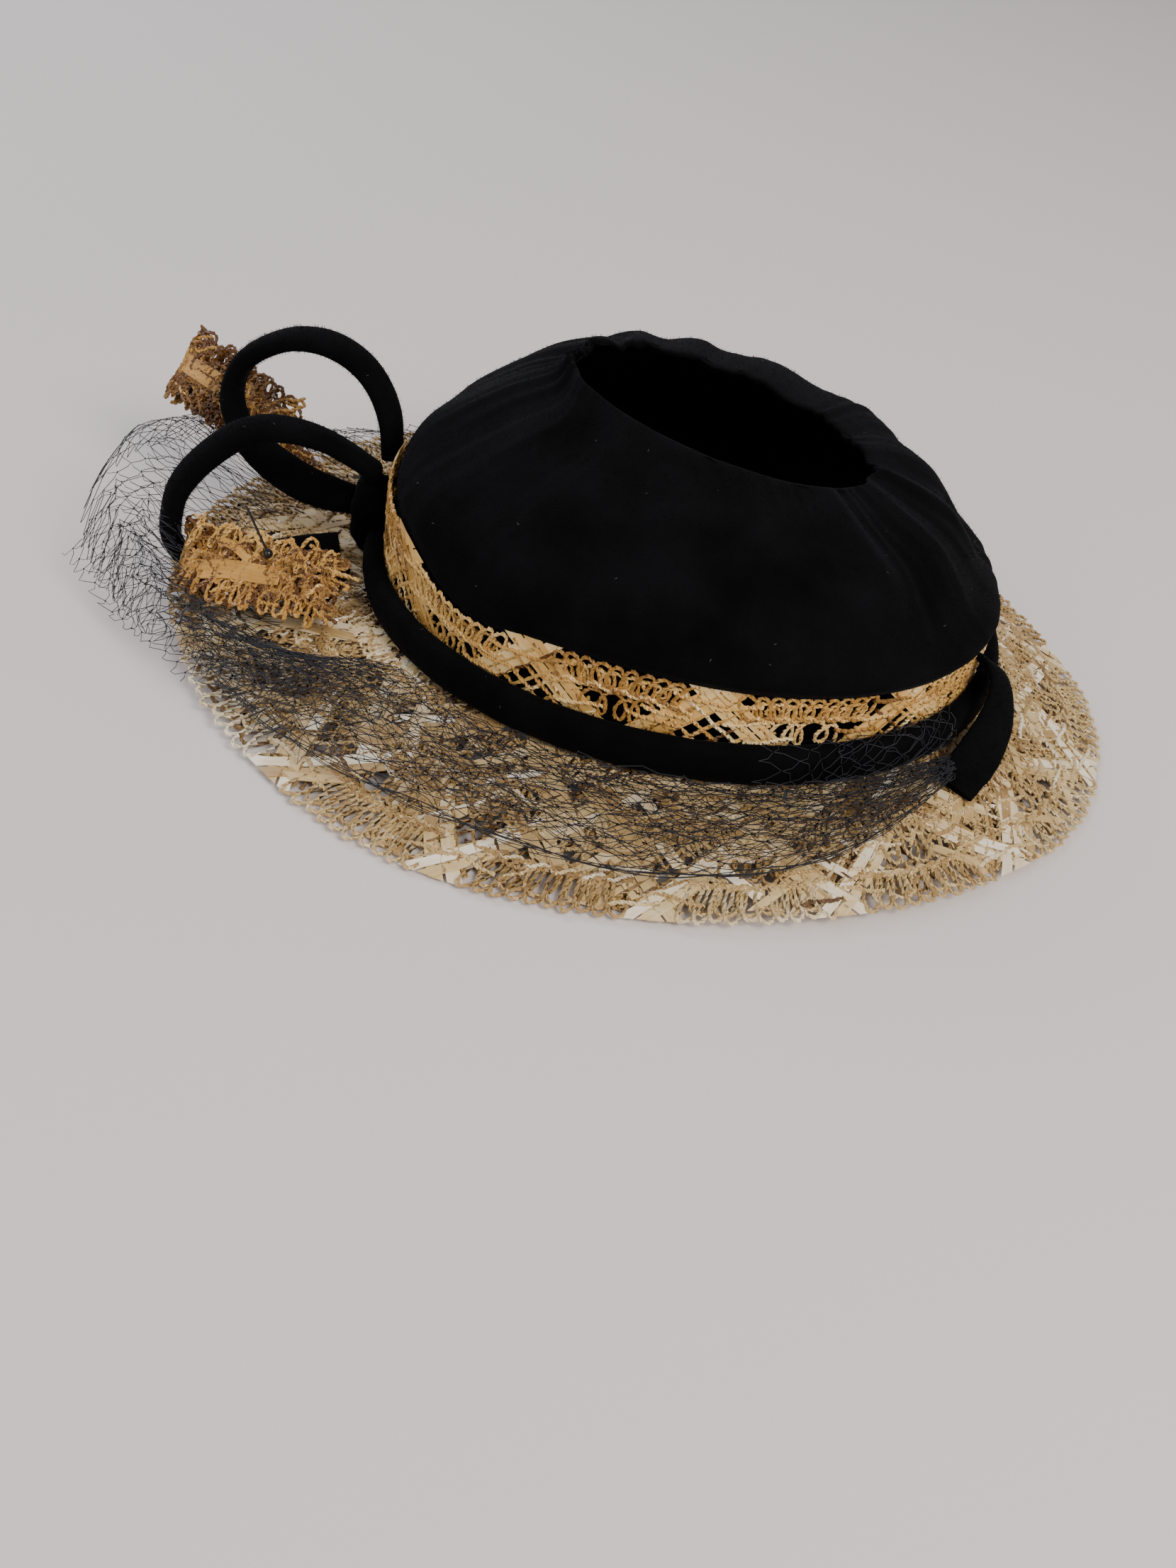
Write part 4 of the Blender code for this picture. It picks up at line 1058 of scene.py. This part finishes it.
class STRAWHAT_OT_side_band(bpy.types.Operator):
    """Lay the upright band of straw lace round the foot of the crown"""

    bl_idname = "straw_hat.side_band"
    bl_label = "Side Band"

    def execute(self, context):
        sizes = getattr(context.scene, SIZES)
        numbers = (side_band_surface, 1, sizes.side_band_repeats, 0.28, 1.0, sizes, 3)
        lace = Braid(*numbers).lace(0.3)
        foot = Braid(side_band_surface, 1, sizes.side_band_repeats, 0.0, 0.34, sizes, 4, tone=0.4)
        foot.edge_cord(0.10, -0.6)
        foot.edge_cord(0.90, -0.6)
        foot.lattice(foot.centres, -0.8, slant=0.4)
        coils = Braid(*numbers).coils(-0.2, edge=0.96, loose=26)
        make_piece(
            "straw_side_band_lace", lace.solids + foot.solids, gold_straw(),
            ["straw_side_band"], tones=lace.tones + foot.tones,
        )
        make_piece("straw_side_band_coils", coils.solids, gold_straw(), tones=coils.tones)
        return {"FINISHED"}


class STRAWHAT_OT_brim(bpy.types.Operator):
    """Lay the brim: two rows of straw lace, sewn one over the other, and a plainer layer under them"""

    bl_idname = "straw_hat.brim"
    bl_label = "Brim"

    def execute(self, context):
        sizes = getattr(context.scene, SIZES)
        repeats = sizes.brim_repeats
        outer = (brim_surface, -1, repeats, 0.42, 1.0, sizes, 12, 0.52)
        inner = (brim_surface, -1, round(repeats * 0.8), -0.02, 0.58, sizes, 11, 0.46, 0.2)
        self.row("outer", outer, -0.6, 1.05, ["straw_brim"])
        self.row("inner", inner, 0.2, 1.0, [])
        under = Braid(brim_surface, -1, round(repeats * 0.9), 0.03, 0.97, sizes, 13, 0.34)
        under.legs(-2.0, top=0.95)
        under.lattice(under.centres, -1.9, slant=0.8)
        under.lattice(under.valleys, -1.9, slant=0.8)
        under.tangle(160, 0.05, 0.95, -1.4, reach=11.0)
        make_piece("straw_brim_under_row", under.solids, tan_straw(), tones=under.tones)
        edging = Braid(brim_surface, -1, repeats, 0.05, 0.22, sizes, 14, 0.46)
        edging.coil(edging.centres, edging.period, 0.30, 1.0, 1.0, 3.6, uneven=0.9)
        make_piece("straw_brim_inner_edging", edging.solids, tan_straw(), tones=edging.tones)
        return {"FINISHED"}

    def row(self, name, numbers, above, edge, stands_for):
        lace, coils = Braid(*numbers).lace(above + 0.2), Braid(*numbers).coils(above, edge)
        lace.crossings(above, 46)
        make_piece(
            f"straw_brim_{name}_lace", lace.solids, tan_straw(), stands_for, tones=lace.tones
        )
        make_piece(f"straw_brim_{name}_coils", coils.solids, tan_straw(), tones=coils.tones)


class STRAWHAT_OT_tabs(bpy.types.Operator):
    """Make the two folded tabs of straw braid, tangled coils held by one broad flat straw"""

    bl_idname = "straw_hat.tabs"
    bl_label = "Straw Tabs"

    def execute(self, context):
        sizes = getattr(context.scene, SIZES)
        self.tab("straw_tab_near", TAB_NEAR, TAB_NEAR_LEAN, sizes, 21)
        self.tab("straw_tab_far", TAB_FAR, TAB_FAR_LEAN, sizes, 22)
        return {"FINISHED"}

    def tab(self, name, table, lean, sizes, seed):
        """A braid on a strip: along its path in shares of its length, across it from 0 to 1."""
        places, even = even_places(table, 200), np.linspace(0, 1, 200)
        length = np.linalg.norm(np.diff(smooth_open(table, places)[:, :3], axis=0), axis=1).sum() * MM

        def surface(u, v):
            inside = np.clip(u, 0.0, 0.995)
            here = columns(TAB_COLUMNS, smooth_open(table, np.interp(inside, even, places)))
            after = columns(TAB_COLUMNS, smooth_open(table, np.interp(inside + 0.005, even, places)))
            point = np.stack([here[name] for name in "xyz"], axis=-1) * MM
            along = unit(np.stack([after[name] for name in "xyz"], axis=-1) * MM - point)
            side = square_to(along, np.broadcast_to(np.array(lean), point.shape))
            point = point + along * ((u - inside) * length)[..., None]
            return point + side * ((v - 0.5) * here["width"] * MM)[..., None]

        braid = Braid(surface, 1, 1, 0.0, 1.0, sizes, seed, tone=0.18)
        for foot, top, above, pitch in (
            (0.66, 1.08, 1.0, 3.5), (0.62, 1.02, -0.9, 4.0), (0.44, 0.78, 1.4, 4.2),
            (0.24, 0.60, 1.2, 3.9), (0.26, 0.66, -0.9, 3.8), (-0.08, 0.34, 0.9, 3.5),
            (-0.02, 0.38, -1.0, 4.1),
        ):
            braid.coil([0.5], braid.length - 1.0, foot, top, above, pitch, uneven=2.8)
        braid.tangle(130, 0.02, 0.98, 1.5, reach=8.0)
        braid.tangle(50, 0.02, 0.98, -1.2, reach=9.0)
        self.broad_straws(braid)
        self.frayed_end(braid)
        make_piece(name + "_coils", braid.solids, gold_straw(), [name], tones=braid.tones)

    def broad_straws(self, braid):
        """One broad straw of two lanes laid slantwise over the front, and a short one beside it."""
        share = np.linspace(0, 1, 16)[None]
        for start, end, v_from, v_to, width in (
            (0.53, 0.80, 0.36, 0.60, 4.2), (0.55, 0.82, 0.24, 0.47, 3.4), (0.56, 0.70, 0.80, 0.66, 3.2),
        ):
            u = (start + (end - start) * share) * braid.length
            v = v_from + (v_to - v_from) * share + 0.03 * np.sin(5 * share)
            w = 2.5 + 0.8 * np.sin(np.pi * share)
            lean = np.broadcast_to(np.array([0.0, 1.0]), (*u.shape, 2))
            solid = flat_straw(braid.surface, u, v, w * MM, lean, width * MM, 0.4 * MM, braid.facing)
            # Tone shifted up towards the light and pale stops: a painted glint on the broad straws
            braid.keep(solid, 1, 0.22, 0.05)

    def frayed_end(self, braid):
        """Loose ends past the end of the braid: short curls, and one straw that sticks out."""
        rng = braid.rng
        share = np.linspace(0, 1, 14)[None]
        count = 16
        reach = rng.uniform(2.0, 6.5, (count, 1))
        u = braid.length - 3.0 + (reach + 3.0) * np.sin(share * rng.uniform(1.4, 2.6, (count, 1)))
        v = np.linspace(0.04, 0.96, count)[:, None] + share * rng.normal(0, 0.12, (count, 1))
        w = rng.uniform(-1.5, 1.5, (count, 1)) + 1.5 * share * rng.normal(0, 1, (count, 1))
        braid.twist(u, v, w, 1.2, 0.6, 4.6)
        u = braid.length - 4.0 + 13.0 * share
        braid.twist(u, 0.78 - 0.10 * share, 1.0 + 0.8 * np.sin(3 * share), 1.1, 0.6, 7.0, 0.2)


def net_surface(places, shares):
    """The net from its crest (share 0) out and down to its outer edge (share 1), with a hump between.

    Below share 0 it turns down again on the inner side of the crest.
    """
    row = columns(NET_COLUMNS, smooth_open(NET, places))
    clearance = VELVET_WALL + BAND_GAP + STRAW_WALL + CLEAR + 2 * TUBE_HALF_THICKNESS
    base = ellipse(row["turn"], CROWN_CENTRE_X, HEAD_LENGTH + clearance, HEAD_WIDTH + clearance)
    out = outward(row["turn"], HEAD_LENGTH, HEAD_WIDTH)
    outer, inner = np.maximum(shares, 0), np.minimum(shares, 0)
    reach = row["inner_out"] + (row["outer_out"] - row["inner_out"]) * outer + NET_TURN_IN * inner
    height = row["inner_height"] + (row["outer_height"] - row["inner_height"]) * outer + NET_TURN_DOWN * inner
    height = np.maximum(height, NET_LOWEST) + row["ridge"] * np.sin(np.pi * np.clip(shares, 0, 1))
    return np.concatenate([base + out * reach[..., None], height[..., None]], axis=-1)


def tube_surface(turns, shares):
    """The net where it crosses the rolled band: an arc round the roll's section, a little clear of it."""
    clear = 0.0009
    middle = VELVET_WALL + BAND_GAP + STRAW_WALL + CLEAR + TUBE_HALF_THICKNESS
    level = ellipse(turns, CROWN_CENTRE_X, HEAD_LENGTH + middle, HEAD_WIDTH + middle)
    angle = np.pi * (-0.30 + 0.95 * shares)
    level = level + outward(turns, HEAD_LENGTH, HEAD_WIDTH) * (
        (TUBE_HALF_THICKNESS + clear) * np.cos(angle)
    )[..., None]
    height = TUBE_HEIGHT + (TUBE_HALF_HEIGHT + clear) * np.sin(angle)
    return np.concatenate([level, height[..., None]], axis=-1)


class STRAWHAT_OT_net(bpy.types.Operator):
    """Knot the coarse net that is crumpled round the front and the near side"""

    bl_idname = "straw_hat.net"
    bl_label = "Net"

    def execute(self, context):
        sizes = getattr(context.scene, SIZES)
        rng = np.random.default_rng(51)
        solids, tones = [], []
        for number, numbers in enumerate(NET_LAYERS):
            layer = dict(zip(NET_LAYER_COLUMNS, numbers))
            self.net_layer(net_surface, layer, sizes, rng, solids, tones, number)
        for number, numbers in enumerate(TUBE_LAYERS):
            layer = dict(zip(NET_LAYER_COLUMNS, numbers))
            self.net_layer(tube_surface, layer, sizes, rng, solids, tones, 40 + number)
        self.selvedge(sizes, rng, solids, tones)
        make_piece("veil_net", solids, net_thread(), ["veil"], tones=tones, sharp=80)
        return {"FINISHED"}

    def net_layer(self, surface, layer, sizes, rng, solids, tones, number):
        """Zigzag threads knotted peak to peak: across is the thread's number plus half a triangle wave.

        The cloth is crumpled: slow and quick ripples of the places along and across it, in mm, move
        every thread and knot together.
        """
        fine = np.linspace(layer["first"], layer["last"], 400)
        middle = surface(fine, np.full(400, (layer["low"] + layer["high"]) / 2))
        length = np.cumsum(np.linalg.norm(np.diff(middle, axis=0, prepend=middle[:1]), axis=1))
        rows = layer["rows"]
        waves = max(round(length[-1] / (sizes.net_mesh * layer["drawn"])), 3)
        tooth = np.arange(waves * 4 + 1)[None]
        thread = np.arange(rows)[:, None]
        zigzag = np.array([-1.0, -0.50, 1.0, 0.50])[tooth % 4] * 0.5
        part = (thread + 0.5 + zigzag * np.where(thread % 2, 1, -1)) / rows
        share = layer["low"] + (layer["high"] - layer["low"]) * part
        along = length[-1] * tooth / tooth[0, -1] / MM
        across = part * rows * sizes.net_mesh / MM * 0.8
        seed = 100 + 20 * number
        moved = along + 4.0 * layer["drawn"] * ripple(seed, along / 9, across / 7)
        places = np.interp(moved * MM, length, fine)
        share = share + 0.05 * ripple(seed + 1, along / 12, across / 8)
        path = surface(places, share)
        slow = np.stack([ripple(seed + k, along / 4.2, across / 4.2) for k in (2, 3, 4)], axis=-1)
        quick = np.stack([ripple(seed + k, along / 1.3, across / 1.3) for k in (5, 6, 7)], axis=-1)
        path = path + layer["crumple_mm"] * MM * (0.9 * slow + 0.5 * quick)
        path[..., 2] += layer["lift_mm"] * MM
        side, over = framed(path, np.broadcast_to(np.array([0.0, 0.0, 1.0]), path.shape))
        solid = carried(path, side * sizes.net_thread, over * sizes.net_thread, OBLONG)
        solids.append(solid)
        tones.append(strand_tones(solid, rows, rng, 0.5, 0.2))
        knots = path[:, 2::4].reshape(-1, 1, 3)
        size = 1.1 * sizes.net_thread
        knots = np.concatenate([knots - [0, 0, size], knots + [0, 0, size]], axis=1)
        east = np.broadcast_to(np.array([2 * size, 0.0, 0.0]), knots.shape)
        north = np.broadcast_to(np.array([0.0, 2 * size, 0.0]), knots.shape)
        solid = carried(knots, east, north, OBLONG)
        solids.append(solid)
        tones.append(strand_tones(solid, len(knots), rng, 0.35, 0.15))

    def selvedge(self, sizes, rng, solids, tones):
        """The drawn-in outer edge: a few threads that run close together along it."""
        count, stations = 6, 320
        number = np.arange(count)[:, None]
        run = np.linspace(0.56, 0.985, stations)[None] + np.zeros((count, 1))
        share = 0.97 + 0.055 * ripple(7, run * 55, number * 2.1)
        path = net_surface(run * (len(NET) - 1), share)
        path[..., 2] += 0.0008 + 0.0008 * ripple(9, run * 70, number * 1.7)
        side, over = framed(path, np.broadcast_to(np.array([0.0, 0.0, 1.0]), path.shape))
        solid = carried(path, side * sizes.net_thread, over * sizes.net_thread, OBLONG)
        solids.append(solid)
        tones.append(strand_tones(solid, count, rng, 0.4, 0.2))


class STRAWHAT_OT_pin(bpy.types.Operator):
    """Make the pin with a round head that holds the near tab"""

    bl_idname = "straw_hat.pin"
    bl_label = "Pin"

    def execute(self, context):
        """The head is a sphere and the shaft a cone-ended rod, turned about the line from head to tip."""
        head, tip = np.array(PIN_HEAD_AT), np.array(PIN_TIP_AT)
        axis = unit(tip - head)
        length = np.linalg.norm(tip - head)
        side = unit(np.cross(axis, [0.0, 0.0, 1.0]))
        over = np.cross(axis, side)
        angle = np.radians(np.linspace(176, 14, 16))
        along = np.concatenate([PIN_HEAD_RADIUS * np.cos(angle), [length * 0.9, length]])
        radius = np.concatenate([PIN_HEAD_RADIUS * np.sin(angle), [PIN_SHAFT_RADIUS, PIN_SHAFT_RADIUS * 0.2]])
        path = (head + along[:, None] * axis)[None]
        solid = carried(
            path, 2 * radius[None, :, None] * side, 2 * radius[None, :, None] * over, rounded(24, 2.0)
        )
        material, tree, shader = new_material("black_lacquered_pin")
        shader.inputs["Base Color"].default_value = (*linear("#141416"), 1)
        shader.inputs["Roughness"].default_value = 0.18
        make_piece("trim_pin_lacquered", [solid], material, ["trim_pin"], sharp=60)
        return {"FINISHED"}


class STRAWHAT_OT_stage(bpy.types.Operator):
    """Set the floor, the soft studio light and the camera"""

    bl_idname = "straw_hat.stage"
    bl_label = "Stage"

    def execute(self, context):
        colours = getattr(context.scene, COLOURS)
        mesh = bpy.data.meshes.new("stage_floor")
        reach = 6.0
        corners = [(-reach, -reach, 0), (reach, -reach, 0), (reach, reach, 0), (-reach, reach, 0)]
        mesh.from_pydata(corners, [], [(0, 1, 2, 3)])
        material, tree, shader = new_material("matt_floor_paint")
        shader.inputs["Base Color"].default_value = (*colours.floor, 1)
        shader.inputs["Roughness"].default_value = 0.8
        mesh.materials.append(material)
        floor = bpy.data.objects.new("stage_floor", mesh)
        context.scene.collection.objects.link(floor)

        world = bpy.data.worlds.new("soft_room")
        world.use_nodes = True
        world.node_tree.nodes["Background"].inputs["Color"].default_value = (*linear("#E9E6E6"), 1)
        world.node_tree.nodes["Background"].inputs["Strength"].default_value = 0.60
        context.scene.world = world

        for name, place, size, watts, tint in (
            ("key", (0.9, -0.9, 1.3), 0.8, 26.0, "#FFF6EA"),
            ("window", (-1.2, 1.0, 1.3), 1.1, 15.0, "#F2F5FF"),
            ("fill", (-1.1, -1.1, 1.0), 1.4, 9.0, "#FFFFFF"),
        ):
            light = bpy.data.lights.new(name, "AREA")
            light.size, light.energy, light.color = size, watts, linear(tint)
            lamp = bpy.data.objects.new(name, light)
            context.scene.collection.objects.link(lamp)
            aim = Matrix.Translation(place).to_translation()
            lamp.location = place
            lamp.rotation_euler = (-aim).to_track_quat("-Z", "Y").to_euler()

        down, roll = np.radians(CAMERA_DOWN), np.radians(CAMERA_ROLL)
        look = np.array([0.0, np.cos(down), -np.sin(down)])
        right, up = np.array([1.0, 0.0, 0.0]), np.array([0.0, np.sin(down), np.cos(down)])
        turned = right * np.cos(roll) + up * np.sin(roll)
        above = up * np.cos(roll) - right * np.sin(roll)
        camera_data = bpy.data.cameras.new("camera")
        camera_data.sensor_width = 36.0
        camera_data.lens = 36.0 * CAMERA_FOCAL
        camera_data.clip_start = 0.01
        camera = bpy.data.objects.new("camera", camera_data)
        context.scene.collection.objects.link(camera)
        place = np.array(CAMERA_AT) + ORIGIN
        matrix = np.eye(4)
        matrix[:3, 0], matrix[:3, 1], matrix[:3, 2], matrix[:3, 3] = turned, above, -look, place
        camera.matrix_world = Matrix(matrix.tolist())
        context.scene.camera = camera
        return {"FINISHED"}


PIECES = (
    STRAWHAT_OT_stage,
    STRAWHAT_OT_side_band,
    STRAWHAT_OT_brim,
    STRAWHAT_OT_crown,
    STRAWHAT_OT_trim,
    STRAWHAT_OT_tabs,
    STRAWHAT_OT_net,
    STRAWHAT_OT_pin,
)


class STRAWHAT_PT_panel(bpy.types.Panel):
    """The hat's sizes, colours and pieces"""

    bl_label = "Straw Hat"
    bl_idname = "STRAWHAT_PT_panel"
    bl_space_type = "VIEW_3D"
    bl_region_type = "UI"
    bl_category = "Straw Hat"

    def draw(self, context):
        for group in (getattr(context.scene, SIZES), getattr(context.scene, COLOURS)):
            for name in group.bl_rna.properties.keys():
                if name not in ("rna_type", "name"):
                    self.layout.prop(group, name)
        for operator in PIECES:
            self.layout.operator(operator.bl_idname)


CLASSES = (HatSizes, HatColours, *PIECES, STRAWHAT_PT_panel)


def register():
    for kind in CLASSES:
        bpy.utils.register_class(kind)
    setattr(bpy.types.Scene, SIZES, bpy.props.PointerProperty(type=HatSizes))
    setattr(bpy.types.Scene, COLOURS, bpy.props.PointerProperty(type=HatColours))


def unregister():
    delattr(bpy.types.Scene, COLOURS)
    delattr(bpy.types.Scene, SIZES)
    for kind in reversed(CLASSES):
        bpy.utils.unregister_class(kind)


def main():
    register()
    bpy.ops.straw_hat.stage()
    bpy.ops.straw_hat.side_band()
    bpy.ops.straw_hat.brim()
    bpy.ops.straw_hat.crown()
    bpy.ops.straw_hat.trim()
    bpy.ops.straw_hat.tabs()
    bpy.ops.straw_hat.net()
    bpy.ops.straw_hat.pin()


if __name__ == "__main__":
    main()
